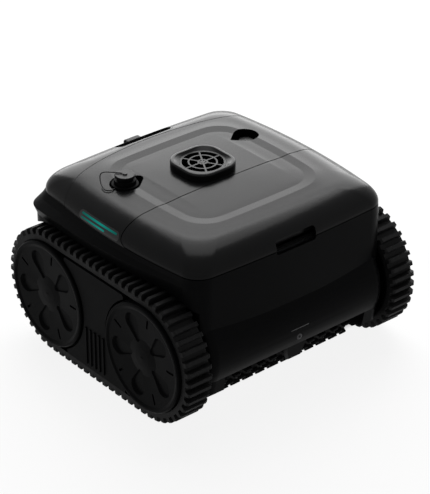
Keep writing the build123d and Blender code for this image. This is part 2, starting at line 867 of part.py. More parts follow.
bar_rear = light_y + upper_bar / 2
upper_light = (upper_bar, bar_width, light_y, light_z + bar_spacing / 2)
lower_light = (lower_bar, bar_width, bar_rear - lower_bar / 2, light_z - bar_spacing / 2)
light_skin = common(shell, light_prism(light_length, light_width, light_y, light_z))
deck -= light_prism(light_length + 2 * light_play, light_width + 2 * light_play, light_y, light_z)
lights = []
for length, width, middle_y, middle_z in (upper_light, lower_light):
    light_skin -= light_prism(length + light_play, width + light_play, middle_y, middle_z)
    lights.append(common(shell, light_prism(length, width, middle_y, middle_z)))
parts["rear_deck"] = deck
parts["light_window"] = light_skin
parts["light_bars"] = Compound(children=lights)

# Rear panel with the carrying slot, its well and the lug
panel_shell = upper_shell - rear_inside - block(-far, far, -far, 0, 0, far)
lug = block(-lug_half_width, lug_half_width, rear_seam_y, lug_reach, lug_bottom, lug_top)
panel_shell += fillet(lug.edges(), lug_round) - outer_pod
slot_outline = Pos(0, handle_y) * SlotOverall(handle_length, handle_width)
panel_shell -= extrude(offset(slot_outline, handle_wall + handle_play), far)
handle_well = extrude(Pos(0, 0, handle_floor - handle_wall) * offset(slot_outline, handle_wall), far)
handle_well = common(handle_well, outer_pod) - extrude(Pos(0, 0, handle_floor) * slot_outline, far)
parts["rear_panel"] = panel_shell
parts["handle_well"] = handle_well

# Outlet ring and grille
outlet_ring = extrude(Pos(0, outlet_y, outlet_foot) * outlet_square, outlet_top - outlet_foot)
outlet_ring = fillet(outlet_ring.edges().group_by(Axis.Z)[-1], outlet_edge)
outlet_ring -= post(outlet_bore, 0, outlet_y, grille_z, far)
outlet_ring -= post(outlet_bore - grille_rim, 0, outlet_y, 0, far)
funnel_size = outlet_size - 2 * outlet_rim
funnel_mouth = RectangleRounded(funnel_size, funnel_size, outlet_round - outlet_rim)
funnel_throat = RectangleRounded(2 * outlet_bore, 2 * outlet_bore, outlet_bore * funnel_throat_share)
outlet_ring -= Pos(0, outlet_y, outlet_top) * loft([
    Pos(0, 0, -outlet_funnel) * funnel_throat, funnel_mouth], ruled=True)
grille = Circle(outlet_bore - outlet_seat_play) - Circle(outlet_bore - grille_rim)
for radius in grille_rings:
    grille += Circle(radius + grille_bar / 2) - Circle(radius - grille_bar / 2)
spoke_in = grille_rings[0] * grille_hub_share
spoke_length = outlet_bore - grille_rim / 2 - spoke_in
for number in range(grille_spokes):
    grille += Rot(0, 0, 360 / grille_spokes * number) * Pos(spoke_in + spoke_length / 2, 0) * Rectangle(
        spoke_length, grille_bar)
grille += Circle(spoke_in + grille_bar / 2)
parts["outlet_ring"] = outlet_ring
parts["outlet_grille"] = extrude(Pos(0, outlet_y, grille_z) * grille, grille_thickness)

# Charging port, its cap and the cap's tether
knurl = []
for number in range(2 * knurl_count):
    radius = port_radius - knurl_depth * (number % 2)
    angle = math.pi * number / knurl_count
    knurl.append((radius * math.cos(angle), radius * math.sin(angle)))
port_place = Pos(port_x, port_y, port_well_floor)
port_outline = make_face(Polyline(*knurl, close=True)) - Circle(port_bore)
parts["charge_port"] = extrude(port_place * port_outline, port_top - port_well_floor)
charge_cap = post(port_bore - cap_plug_play, port_x, port_y, port_top - cap_plug_depth, port_top + cap_lift)
cap_seat_z = cap_top_z - cap_disc_thickness
charge_cap += post(cap_neck_radius, port_x, port_y, port_top + cap_lift, cap_seat_z)
charge_cap += post(cap_top_radius, port_x, port_y, cap_top_z - cap_lip_thickness, cap_seat_z)
parts["charge_cap"] = charge_cap
cap_disc = post(cap_top_radius - cap_disc_margin, port_x, port_y, cap_seat_z, cap_top_z)
parts["cap_disc"] = cap_disc + post(eyelet_radius, port_x, port_y, cap_top_z, cap_top_z + eyelet_height)

tether_radii = []
for before, corner, after in zip(tether_route, tether_route[1:], tether_route[2:]):
    run_in = Vector(corner) - Vector(before)
    run_out = Vector(after) - Vector(corner)
    turn = math.radians(run_in.get_angle(run_out))
    tether_radii.append(0.45 * min(run_in.length, run_out.length) / math.tan(turn / 2))
print("tether radii", [round(radius, 2) for radius in tether_radii])
tether_line = FilletPolyline(*tether_route, radius=tether_radii)
tether_section = Plane(origin=tether_line @ 0, z_dir=tether_line % 0) * Circle(tether_radius)
parts["cap_tether"] = sweep(tether_section, path=tether_line)
print("tether length", round(tether_line.length, 1), "volume", round(parts["cap_tether"].volume, 2),
      "expected", round(math.pi * tether_radius ** 2 * tether_line.length, 2))

# Power button in its well
button = post(button_radius, button_x, button_y, button_well_floor + button_travel_room,
              button_well_floor + button_travel_room + button_height)
button = fillet(button.edges().group_by(Axis.Z)[-1], button_height / 3)
button += post(button_stem_radius, button_x, button_y, button_well_floor - button_stem,
               button_well_floor + button_travel_room)
parts["power_button"] = button


# Brush halves: core with pinion, blade sleeve, and the bearing between them
def blade_row(turn, start, end):
    outline = Circle(brush_base_radius)
    for number in range(brush_blades):
        angle = turn + 360 / brush_blades * number
        outline += Rot(0, 0, angle) * Pos(brush_radius / 2, 0) * Rectangle(brush_radius, brush_blade)
    outline = outline & Circle(brush_radius)
    outline -= Circle(brush_core_radius + sleeve_play)
    return along_x(outline, start, end)


brush_pitch = brush_segment + brush_segment_gap
brush_end = brush_inner_end + brush_segments * brush_pitch - brush_segment_gap
core = rod(brush_core_radius, brush_inner_end, brush_end) + rod(brush_shaft_radius, brush_end, gear_out)
core += pinion(brush_angle)
core -= rod(brush_pin_radius + axle_play, 0, brush_inner_end + brush_pin_depth)
sleeves = []
for segment in range(brush_segments):
    sleeve = Part()
    for row in range(brush_rows):
        start = brush_inner_end + segment * brush_pitch + row * brush_segment / brush_rows
        sleeve += blade_row(row % 2 * 180 / brush_blades, start, start + brush_segment / brush_rows)
    sleeves.append(brush_place * sleeve)
parts["brush_core_right"] = brush_place * core
parts["brush_core_left"] = left_of(parts["brush_core_right"])
parts["brush_sleeves_right"] = Compound(children=sleeves)
parts["brush_sleeves_left"] = Compound(children=[left_of(sleeve) for sleeve in sleeves])
pin_end = brush_inner_end + brush_pin_depth - end_play
hanger = brush_place * rod(brush_pin_radius, -pin_end, pin_end)
hanger_half = hanger_thickness / 2
hanger += block(-hanger_half, hanger_half, brush_y - hanger_half_depth, brush_y + hanger_half_depth,
                brush_axis[1] - hanger_half_depth, bay_top)
hanger += block(-hanger_half, hanger_half, -bay_front, brush_y, bay_top - hanger_half_depth, bay_top)
parts["brush_bearing"] = hanger

# Drive gearmotors and their pinions
gearbox_in = tub_half_width - gearbox_length
motor = rod(gearbox_radius, gearbox_in, tub_half_width)
motor += rod(motor_radius, gearbox_in - motor_length, gearbox_in)
motor = chamfer(motor.edges().group_by(Axis.X)[0], wall / 2)
motor -= rod(motor_shaft_radius + axle_play, tub_half_width - motor_shaft_depth - end_play, tub_half_width)
drive = rod(motor_shaft_radius, tub_half_width - motor_shaft_depth, gear_out) + pinion(motor_angle)
for name, piece in (("drive_motor", motor), ("drive_pinion", drive)):
    placed = motor_place * piece
    parts[f"{name}_right"] = placed
    parts[f"{name}_left"] = left_of(placed)

# Filter chamber with its gasket
chamber_length = chamber_front - chamber_rear
chamber_y = -(chamber_front + chamber_rear) / 2
chamber_box = Rectangle(2 * chamber_half_width, chamber_length)
chamber_inner = Rectangle(2 * (chamber_half_width - chamber_wall), chamber_length - 2 * chamber_wall)
chamber = extrude(Pos(0, chamber_y, chamber_floor) * chamber_box, chamber_top - chamber_floor)
rim_y0 = -chamber_front - chamber_rim_width
chamber += block(-chamber_half_width - chamber_rim_width, chamber_half_width + chamber_rim_width, rim_y0,
                 -chamber_rear + chamber_rear_rim, chamber_top - chamber_rim, chamber_top)
chamber -= extrude(Pos(0, chamber_y, chamber_floor + chamber_wall) * chamber_inner, far)
inlet_out = inlet_depth / 2 + inlet_wall + cap_seat
chamber -= block(-inlet_half_width - inlet_wall - cap_seat, inlet_half_width + inlet_wall + cap_seat,
                 inlet_y - inlet_out, inlet_y + inlet_out, 0, chamber_floor + chamber_wall + 1)
suction = Plane.XZ * Pos(0, suction_z) * Circle(suction_radius - duct_wall)
chamber -= extrude(suction, chamber_rear + 2 * chamber_wall)
parts["filter_chamber"] = chamber
gasket_outline = Rectangle(2 * (chamber_half_width - chamber_wall) + 2 * gasket_width,
                           chamber_length - 2 * chamber_wall + 2 * gasket_width)
gasket = extrude(Pos(0, chamber_y, chamber_top) * (gasket_outline - chamber_inner), gasket_height)
parts["lid_gasket"] = gasket

# Filter basket and its mesh
basket_half = chamber_half_width - chamber_wall - basket_gap
basket_length = chamber_length - 2 * chamber_wall - 2 * basket_gap
basket_foot = chamber_floor + chamber_wall
basket_box = Rectangle(2 * basket_half, basket_length)
basket = extrude(Pos(0, chamber_y, basket_foot) * basket_box, basket_height)
basket_in = Rectangle(2 * (basket_half - basket_wall), basket_length - 2 * basket_wall)
rim_in = Rectangle(2 * (basket_half - basket_rim), basket_length - 2 * basket_rim)
basket_floor = Pos(0, chamber_y, basket_foot + basket_wall)
basket -= extrude(basket_floor * basket_in, basket_height - basket_rim - basket_wall)
basket -= extrude(basket_floor * rim_in, far)
mouth_half = inlet_half_width + inlet_wall + flap_ear
mouth_front = inlet_y - inlet_out - flap_ear - flap_barrel_radius
basket -= block(-mouth_half, mouth_half, mouth_front, inlet_y + inlet_out, 0, basket_foot + basket_wall + 1)
window_height = basket_height - 2 * basket_window_margin
window_z = basket_foot + basket_height / 2
meshes = []
for count, wall_length, across in ((basket_long_windows, 2 * basket_half, False),
                                   (basket_short_windows, basket_length, True)):
    window_pitch = (wall_length - basket_window_margin) / count
    for number in range(count):
        middle = (number - (count - 1) / 2) * window_pitch
        for end in (1, -1):
            width = window_pitch - basket_window_margin
            depth = basket_half if across else basket_length / 2
            spot = Pos(0, chamber_y, window_z) * Rot(0, 0, 90 if across else 0)
            spot = spot * Pos(middle, end * (depth - basket_wall / 2))
            basket -= spot * Box(width, 4 * basket_wall, window_height)
            meshes.append(spot * Box(width - mesh_play, mesh_thickness, window_height - mesh_play))
parts["filter_basket"] = basket
parts["filter_mesh"] = Compound(children=meshes)

# Inlet duct with the flap on its mouth
mouth = basket_foot + inlet_rise
duct_outer = Rectangle(2 * (inlet_half_width + inlet_wall), inlet_depth + 2 * inlet_wall)
inlet_duct = extrude(Pos(0, inlet_y, plate_top) * duct_outer, mouth - plate_top)
inlet_duct -= extrude(Pos(0, inlet_y, plate_top) * Rectangle(2 * inlet_half_width, inlet_depth), far)
flap_y = inlet_y - inlet_depth / 2 - inlet_wall - flap_barrel_radius - flap_lift
flap_z = mouth + flap_lift + flap_thickness / 2
flap_place = at(flap_y, flap_z)
flap_end = inlet_half_width + inlet_wall
ear_start = flap_end - flap_ear
for side in (1, -1):
    ear = block(min(side * ear_start, side * flap_end), max(side * ear_start, side * flap_end),
                flap_y - flap_barrel_radius, inlet_y - inlet_depth / 2, mouth - 2 * flap_barrel_radius, mouth)
    ear += flap_place * rod(flap_barrel_radius, side * ear_start, side * flap_end)
    ear -= block(-far, far, flap_y + flap_barrel_radius, far, mouth, far)
    inlet_duct += ear
    inlet_duct += flap_place * rod(flap_pin_radius, side * (ear_start - flap_ear), side * flap_end)
parts["inlet_duct"] = inlet_duct
flap_reach = ear_start - end_play
flap = flap_place * rod(flap_barrel_radius, -flap_reach, flap_reach)
flap += block(-flap_reach, flap_reach, flap_y, inlet_y + inlet_depth / 2 + inlet_wall,
              flap_z - flap_thickness / 2, flap_z + flap_thickness / 2)
for side in (1, -1):
    pin_start = ear_start - flap_ear - end_play
    flap -= flap_place * rod(flap_pin_radius + flap_play, side * pin_start, side * flap_end)
parts["inlet_flap"] = flap

# Pump: duct with suction branch, motor and impeller
duct_out = duct_radius + duct_wall
pump_duct = post(duct_out, 0, outlet_y, plate_top, deck_boss_foot)
branch_length = chamber_rear + outlet_y
branch_plane = Plane.XZ.offset(-outlet_y) * Pos(0, suction_z)
pump_duct += extrude(branch_plane * Circle(suction_radius), branch_length)
pump_duct -= post(duct_radius, 0, outlet_y, duct_floor, far)
pump_duct -= post(duct_radius, 0, outlet_y, 0, duct_floor - duct_wall)
pump_duct -= extrude(branch_plane * Circle(suction_radius - duct_wall), branch_length)
sleeve_out = pump_motor_radius + sleeve_wall
strut_z0 = duct_floor
strut_z1 = suction_z - suction_radius - duct_wall
for number in range(strut_count):
    strut = block(sleeve_out - 1, duct_radius + 1, -strut_thickness / 2, strut_thickness / 2,
                  strut_z0, strut_z1)
    pump_duct += Pos(0, outlet_y) * Rot(0, 0, 90 + 360 / strut_count * number) * strut
pump_duct += post(sleeve_out, 0, outlet_y, duct_floor - 1, strut_z1)
pump_duct -= post(pump_motor_radius + cap_seat, 0, outlet_y, duct_floor, strut_z1 + 1)
parts["pump_duct"] = pump_duct
pump_motor = post(pump_motor_radius, 0, outlet_y, duct_floor, pump_motor_top)
pump_motor = fillet(pump_motor.edges().group_by(Axis.Z)[-1], wall)
pump_motor -= post(pump_shaft_radius + axle_play, 0, outlet_y, pump_motor_top - motor_shaft_depth - 1, far)
parts["pump_motor"] = pump_motor

impeller = post(impeller_hub, 0, outlet_y, impeller_foot, impeller_foot + impeller_height)
impeller = fillet(impeller.edges().group_by(Axis.Z)[-1], impeller_hub / 2)
impeller += post(pump_shaft_radius, 0, outlet_y, pump_motor_top - motor_shaft_depth, impeller_foot + 1)
blade_face = Pos((impeller_hub + impeller_radius) / 2 - 1, 0) * Rectangle(
    impeller_radius - impeller_hub + 2, impeller_blade)
for number in range(impeller_blades):
    turn = 360 / impeller_blades * number
    low_face = Pos(0, outlet_y, impeller_foot + 1) * Rot(0, 0, turn) * blade_face
    high_face = Pos(0, outlet_y, impeller_foot + impeller_height - impeller_hub / 2) * Rot(
        0, 0, turn + impeller_twist) * blade_face
    impeller += loft([low_face, high_face])
parts["impeller"] = impeller

# Battery pack and the control box on it
battery = Pos(0, battery_y, plate_top + battery_size[2] / 2) * Box(*battery_size)
parts["battery_pack"] = fillet(battery.edges().filter_by(Axis.Z), battery_round)
control_z = plate_top + battery_size[2] + control_size[2] / 2
control = Pos(0, battery_y, control_z) * Box(*control_size)
parts["control_box"] = fillet(control.edges().filter_by(Axis.Z), control_round)

os.makedirs("parts", exist_ok=True)
for name, shape in parts.items():
    export_step(shape, f"parts/{name}.step")
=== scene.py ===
import bpy
import math
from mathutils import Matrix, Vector
from mathutils.interpolate import poly_3d_calc


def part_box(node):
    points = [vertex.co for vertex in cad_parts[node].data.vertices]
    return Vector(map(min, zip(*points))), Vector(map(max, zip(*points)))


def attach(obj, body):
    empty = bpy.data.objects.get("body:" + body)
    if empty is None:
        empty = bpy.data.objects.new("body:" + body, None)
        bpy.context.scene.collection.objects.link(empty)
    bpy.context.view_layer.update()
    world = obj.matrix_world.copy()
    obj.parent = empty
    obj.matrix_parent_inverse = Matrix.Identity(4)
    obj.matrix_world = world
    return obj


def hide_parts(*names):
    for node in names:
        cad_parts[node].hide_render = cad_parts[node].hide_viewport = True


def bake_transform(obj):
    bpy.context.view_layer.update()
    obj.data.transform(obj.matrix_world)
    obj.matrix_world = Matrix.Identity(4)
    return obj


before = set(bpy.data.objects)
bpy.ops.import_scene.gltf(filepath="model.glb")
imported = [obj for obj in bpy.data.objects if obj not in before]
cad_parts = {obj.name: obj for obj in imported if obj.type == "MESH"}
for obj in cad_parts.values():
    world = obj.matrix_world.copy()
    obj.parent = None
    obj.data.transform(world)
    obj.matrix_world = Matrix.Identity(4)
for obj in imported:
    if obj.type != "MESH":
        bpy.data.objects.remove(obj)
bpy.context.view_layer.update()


# Lower housing: the tub with the nose, the side ledges over the tracks and the tail.
# One large moulding of charcoal ABS with a satin, finely spark-eroded skin; every
# other piece is screwed or snapped to it.
def moulded_skin_group():
    """A moulding's skin: a slow drift of tone, a blotchy film of dried water and a fine pebble."""
    group = bpy.data.node_groups.new("moulded_skin", "ShaderNodeTree")
    face = group.interface
    face.new_socket("Grain Scale", in_out="INPUT", socket_type="NodeSocketFloat").default_value = 1800.0
    face.new_socket("Film Scale", in_out="INPUT", socket_type="NodeSocketFloat").default_value = 45.0
    face.new_socket("Tone", in_out="OUTPUT", socket_type="NodeSocketFloat")
    face.new_socket("Film", in_out="OUTPUT", socket_type="NodeSocketFloat")
    face.new_socket("Height", in_out="OUTPUT", socket_type="NodeSocketFloat")
    nodes, links = group.nodes, group.links
    enter = nodes.new("NodeGroupInput")
    leave = nodes.new("NodeGroupOutput")
    place = nodes.new("ShaderNodeTexCoord")
    drift = nodes.new("ShaderNodeTexNoise")
    drift.inputs["Scale"].default_value = 9.0
    drift.inputs["Detail"].default_value = 4.0
    film = nodes.new("ShaderNodeTexNoise")
    film.inputs["Detail"].default_value = 6.0
    film.inputs["Roughness"].default_value = 0.65
    film.inputs["Distortion"].default_value = 0.6
    pebble = nodes.new("ShaderNodeTexVoronoi")
    pebble.feature = "SMOOTH_F1"
    for texture in (drift, film, pebble):
        links.new(place.outputs["Object"], texture.inputs["Vector"])
    links.new(enter.outputs["Film Scale"], film.inputs["Scale"])
    links.new(enter.outputs["Grain Scale"], pebble.inputs["Scale"])
    links.new(drift.outputs["Fac"], leave.inputs["Tone"])
    links.new(film.outputs["Fac"], leave.inputs["Film"])
    links.new(pebble.outputs["Distance"], leave.inputs["Height"])
    return group


moulded_skin = moulded_skin_group()


def moulded(name, dark, light, smooth, dull, shine, grain=1800.0, depth=0.00004):
    """A moulded plastic or rubber: tone drifts from dark to light, and a film from smooth to dull."""
    drift_low, drift_high = 0.3, 0.7
    material = bpy.data.materials.new(name)
    material.use_nodes = True
    nodes, links = material.node_tree.nodes, material.node_tree.links
    skin = nodes["Principled BSDF"]
    skin.inputs["Specular IOR Level"].default_value = shine
    effect = nodes.new("ShaderNodeGroup")
    effect.node_tree = moulded_skin
    effect.inputs["Grain Scale"].default_value = grain
    colour = nodes.new("ShaderNodeValToRGB")
    colour.color_ramp.elements[0].position = drift_low
    colour.color_ramp.elements[0].color = (*dark, 1)
    colour.color_ramp.elements[1].position = drift_high
    colour.color_ramp.elements[1].color = (*light, 1)
    gloss = nodes.new("ShaderNodeMapRange")
    gloss.inputs["From Min"].default_value = drift_low
    gloss.inputs["From Max"].default_value = drift_high
    gloss.inputs["To Min"].default_value = smooth
    gloss.inputs["To Max"].default_value = dull
    bump = nodes.new("ShaderNodeBump")
    bump.inputs["Strength"].default_value = 0.3
    bump.inputs["Distance"].default_value = depth
    links.new(effect.outputs["Tone"], colour.inputs["Fac"])
    links.new(colour.outputs["Color"], skin.inputs["Base Color"])
    links.new(effect.outputs["Film"], gloss.inputs["Value"])
    links.new(gloss.outputs["Result"], skin.inputs["Roughness"])
    links.new(effect.outputs["Height"], bump.inputs["Height"])
    links.new(bump.outputs["Normal"], skin.inputs["Normal"])
    return material


def dress(material, *names):
    """Give CAD nodes their finish."""
    for name in names:
        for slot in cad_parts[name].material_slots:
            slot.material = material


shell_plastic = moulded("shell_plastic", (0.0030, 0.0031, 0.0033), (0.0042, 0.0043, 0.0046),
                        smooth=0.18, dull=0.23, shine=0.07, grain=2600.0)
# Painted shade: the tub is the same moulding as the top, but this copy is darker and has less shine, standing
# for the shadowed floor that its front and sides mirror.
shaded_tub_plastic = moulded("shaded_tub_plastic", (0.0026, 0.0027, 0.0029), (0.0038, 0.0039, 0.0042),
                      smooth=0.28, dull=0.36, shine=0.02, grain=2400.0)
dress(shaded_tub_plastic, "lower_housing")

# Drive and pump motors: drawn steel cans with a dull zinc skin, seated in the tub and in
# the pump duct. The marks of drawing run along each can.
turned_marks = bpy.data.node_groups.new("turned_marks", "ShaderNodeTree")
turned_marks.interface.new_socket("Scale", in_out="INPUT", socket_type="NodeSocketVector")
turned_marks.interface.new_socket("Tone", in_out="OUTPUT", socket_type="NodeSocketFloat")
turned_marks.interface.new_socket("Height", in_out="OUTPUT", socket_type="NodeSocketFloat")
turned_nodes, turned_links = turned_marks.nodes, turned_marks.links
turned_enter = turned_nodes.new("NodeGroupInput")
turned_leave = turned_nodes.new("NodeGroupOutput")
turned_place = turned_nodes.new("ShaderNodeTexCoord")
turned_stretch = turned_nodes.new("ShaderNodeVectorMath")
turned_stretch.operation = "MULTIPLY"
turned_lines = turned_nodes.new("ShaderNodeTexNoise")
turned_lines.inputs["Scale"].default_value = 1.0
turned_lines.inputs["Detail"].default_value = 3.0
turned_spots = turned_nodes.new("ShaderNodeTexNoise")
turned_spots.inputs["Scale"].default_value = 160.0
turned_spots.inputs["Detail"].default_value = 4.0
turned_links.new(turned_place.outputs["Object"], turned_stretch.inputs[0])
turned_links.new(turned_enter.outputs["Scale"], turned_stretch.inputs[1])
turned_links.new(turned_stretch.outputs["Vector"], turned_lines.inputs["Vector"])
turned_links.new(turned_place.outputs["Object"], turned_spots.inputs["Vector"])
turned_links.new(turned_lines.outputs["Fac"], turned_leave.inputs["Height"])
turned_links.new(turned_spots.outputs["Fac"], turned_leave.inputs["Tone"])


def metal(name, dark, light, smooth, dull, marks):
    """A machined or drawn metal: fine lines along one direction, tone and gloss in soft spots."""
    spot_low, spot_high = 0.35, 0.65
    material = bpy.data.materials.new(name)
    material.use_nodes = True
    nodes, links = material.node_tree.nodes, material.node_tree.links
    skin = nodes["Principled BSDF"]
    skin.inputs["Metallic"].default_value = 1.0
    effect = nodes.new("ShaderNodeGroup")
    effect.node_tree = turned_marks
    effect.inputs["Scale"].default_value = marks
    colour = nodes.new("ShaderNodeValToRGB")
    colour.color_ramp.elements[0].position = spot_low
    colour.color_ramp.elements[0].color = (*dark, 1)
    colour.color_ramp.elements[1].position = spot_high
    colour.color_ramp.elements[1].color = (*light, 1)
    gloss = nodes.new("ShaderNodeMapRange")
    gloss.inputs["From Min"].default_value = spot_low
    gloss.inputs["From Max"].default_value = spot_high
    gloss.inputs["To Min"].default_value = smooth
    gloss.inputs["To Max"].default_value = dull
    bump = nodes.new("ShaderNodeBump")
    bump.inputs["Strength"].default_value = 0.25
    bump.inputs["Distance"].default_value = 0.00003
    links.new(effect.outputs["Tone"], colour.inputs["Fac"])
    links.new(colour.outputs["Color"], skin.inputs["Base Color"])
    links.new(effect.outputs["Tone"], gloss.inputs["Value"])
    links.new(gloss.outputs["Result"], skin.inputs["Roughness"])
    links.new(effect.outputs["Height"], bump.inputs["Height"])
    links.new(bump.outputs["Normal"], skin.inputs["Normal"])
    return material


drive_can = metal("drive_can", (0.16, 0.165, 0.17), (0.24, 0.245, 0.25),
                  smooth=0.38, dull=0.55, marks=(30.0, 1600.0, 1600.0))
dress(drive_can, "drive_motor_left", "drive_motor_right")
pump_can = metal("pump_can", (0.16, 0.165, 0.17), (0.24, 0.245, 0.25),
                 smooth=0.38, dull=0.55, marks=(1600.0, 1600.0, 30.0))
dress(pump_can, "pump_motor")

# Drive pinions: small acetal gears on the motor shafts, moulded in a bone colour,
# in mesh with the ring gears inside the rear wheels.
pinion_acetal = moulded("pinion_acetal", (0.36, 0.35, 0.31), (0.44, 0.43, 0.39),
                        smooth=0.32, dull=0.45, shine=0.5, grain=2400.0, depth=0.00002)
dress(pinion_acetal, "drive_pinion_left", "drive_pinion_right")

# Battery pack and control box: sealed grey boxes on the tub's floor behind the filter,
# one on the other, potted so that water can't reach what is inside.
box_plastic = moulded("box_plastic", (0.020, 0.021, 0.023), (0.030, 0.031, 0.034),
                      smooth=0.5, dull=0.62, shine=0.25, grain=1400.0, depth=0.00008)
dress(box_plastic, "battery_pack", "control_box")

# Water path: inlet duct, pump duct and impeller. Dark grey glass-filled mouldings, a
# little rough, clipped between the floor slot, the filter and the outlet.
duct_plastic = moulded("duct_plastic", (0.014, 0.0145, 0.015), (0.022, 0.0225, 0.024),
                       smooth=0.46, dull=0.6, shine=0.25, grain=1200.0, depth=0.0001)
dress(duct_plastic, "inlet_duct", "pump_duct", "impeller")

# Inlet flap: a soft rubber leaf hinged on the duct's mouth. It falls shut when the pump
# stops, so that what was picked up stays in the basket.
seal_rubber = moulded("seal_rubber", (0.006, 0.006, 0.0062), (0.010, 0.010, 0.0104),
                      smooth=0.55, dull=0.7, shine=0.1, grain=2200.0, depth=0.00006)
dress(seal_rubber, "inlet_flap")

# Filter chamber and basket: grey mouldings under the lid. The basket lifts out by its
# rim, and its walls are open frames for the mesh.
basket_plastic = moulded("basket_plastic", (0.030, 0.031, 0.034), (0.042, 0.044, 0.047),
                         smooth=0.42, dull=0.55, shine=0.3, grain=1600.0, depth=0.00006)
dress(basket_plastic, "filter_chamber", "filter_basket")

# Filter mesh: woven nylon cloth welded into the basket's windows, about 1.2 mm from
# thread to thread, grey with darker gaps.
mesh_pitch = 0.0012
wave_rate = 20.0  # a wave texture at scale 1 turns through this many radians in a metre


def sums_in(nodes, links):
    """A function that adds one sum to a node tree and gives its result."""
    def step(operation, first, second=None):
        node = nodes.new("ShaderNodeMath")
        node.operation = operation
        for socket, value in zip(node.inputs, (first, second)):
            if isinstance(value, float):
                socket.default_value = value
            elif value is not None:
                links.new(value, socket)
        return node.outputs["Value"]
    return step


filter_cloth = bpy.data.materials.new("filter_cloth")
filter_cloth.use_nodes = True
cloth_nodes, cloth_links = filter_cloth.node_tree.nodes, filter_cloth.node_tree.links
cloth_skin = cloth_nodes["Principled BSDF"]
cloth_skin.inputs["Specular IOR Level"].default_value = 0.2
cloth_skin.inputs["Roughness"].default_value = 0.7
cloth_place = cloth_nodes.new("ShaderNodeTexCoord")
cloth_threads = []
for direction in ("X", "Y", "Z"):
    wave = cloth_nodes.new("ShaderNodeTexWave")
    wave.bands_direction = direction
    wave.inputs["Scale"].default_value = 2 * math.pi / (wave_rate * mesh_pitch)
    wave.inputs["Distortion"].default_value = 0.2
    cloth_links.new(cloth_place.outputs["Object"], wave.inputs["Vector"])
    cloth_threads.append(wave.outputs["Fac"])
cloth_step = sums_in(cloth_nodes, cloth_links)
cloth_cross = cloth_step("MAXIMUM", cloth_threads[0], cloth_threads[1])
cloth_weave = cloth_step("MAXIMUM", cloth_cross, cloth_threads[2])
cloth_colour = cloth_nodes.new("ShaderNodeValToRGB")
cloth_colour.color_ramp.elements[0].position = 0.55
cloth_colour.color_ramp.elements[0].color = (0.02, 0.021, 0.022, 1)
cloth_colour.color_ramp.elements[1].position = 0.9
cloth_colour.color_ramp.elements[1].color = (0.22, 0.225, 0.23, 1)
cloth_bump = cloth_nodes.new("ShaderNodeBump")
cloth_bump.inputs["Distance"].default_value = 0.0003
cloth_links.new(cloth_weave, cloth_colour.inputs["Fac"])
cloth_links.new(cloth_colour.outputs["Color"], cloth_skin.inputs["Base Color"])
cloth_links.new(cloth_weave, cloth_bump.inputs["Height"])
cloth_links.new(cloth_bump.outputs["Normal"], cloth_skin.inputs["Normal"])
dress(filter_cloth, "filter_mesh")

# Bottom plate: a flat cover of black plastic with the suction slot, screwed over the tub's
# floor and scuffed along the way the machine travels.
scuff_marks = bpy.data.node_groups.new("scuff_marks", "ShaderNodeTree")
scuff_marks.interface.new_socket("Stretch", in_out="INPUT", socket_type="NodeSocketVector")
scuff_marks.interface.new_socket("Mask", in_out="OUTPUT", socket_type="NodeSocketFloat")
scuff_nodes, scuff_links = scuff_marks.nodes, scuff_marks.links
scuff_enter = scuff_nodes.new("NodeGroupInput")
scuff_leave = scuff_nodes.new("NodeGroupOutput")
scuff_place = scuff_nodes.new("ShaderNodeTexCoord")
scuff_stretch = scuff_nodes.new("ShaderNodeVectorMath")
scuff_stretch.operation = "MULTIPLY"
scuff_lines = scuff_nodes.new("ShaderNodeTexNoise")
scuff_lines.inputs["Scale"].default_value = 1.0
scuff_lines.inputs["Detail"].default_value = 2.0
scuff_thin = scuff_nodes.new("ShaderNodeMapRange")
scuff_thin.inputs["From Min"].default_value = 0.62
scuff_thin.inputs["From Max"].default_value = 0.72
scuff_patch = scuff_nodes.new("ShaderNodeTexNoise")
scuff_patch.inputs["Scale"].default_value = 26.0
scuff_patch.inputs["Detail"].default_value = 3.0
scuff_spread = scuff_nodes.new("ShaderNodeMapRange")
scuff_spread.inputs["From Min"].default_value = 0.48
scuff_spread.inputs["From Max"].default_value = 0.68
scuff_links.new(scuff_place.outputs["Object"], scuff_stretch.inputs[0])
scuff_links.new(scuff_enter.outputs["Stretch"], scuff_stretch.inputs[1])
scuff_links.new(scuff_stretch.outputs["Vector"], scuff_lines.inputs["Vector"])
scuff_links.new(scuff_lines.outputs["Fac"], scuff_thin.inputs["Value"])
scuff_links.new(scuff_place.outputs["Object"], scuff_patch.inputs["Vector"])
scuff_links.new(scuff_patch.outputs["Fac"], scuff_spread.inputs["Value"])
scuff_both = sums_in(scuff_nodes, scuff_links)("MULTIPLY", scuff_thin.outputs["Result"],
                                               scuff_spread.outputs["Result"])
scuff_links.new(scuff_both, scuff_leave.inputs["Mask"])


def rub(material, group, values, pale, dull):
    """Take a finish to a paler, duller tone where a wear group's mask says that it is rubbed."""
    nodes, links = material.node_tree.nodes, material.node_tree.links
    skin = nodes["Principled BSDF"]
    wear = nodes.new("ShaderNodeGroup")
    wear.node_tree = group
    for name, value in values.items():
        wear.inputs[name].default_value = value
    tone = nodes.new("ShaderNodeMix")
    tone.data_type = "RGBA"
    tone.inputs["B"].default_value = (*pale, 1)
    gloss = nodes.new("ShaderNodeMix")
    gloss.inputs["B"].default_value = dull
    links.new(wear.outputs["Mask"], tone.inputs["Factor"])
    links.new(wear.outputs["Mask"], gloss.inputs["Factor"])
    links.new(skin.inputs["Base Color"].links[0].from_socket, tone.inputs["A"])
    links.new(skin.inputs["Roughness"].links[0].from_socket, gloss.inputs["A"])
    links.new(tone.outputs["Result"], skin.inputs["Base Color"])
    links.new(gloss.outputs["Result"], skin.inputs["Roughness"])


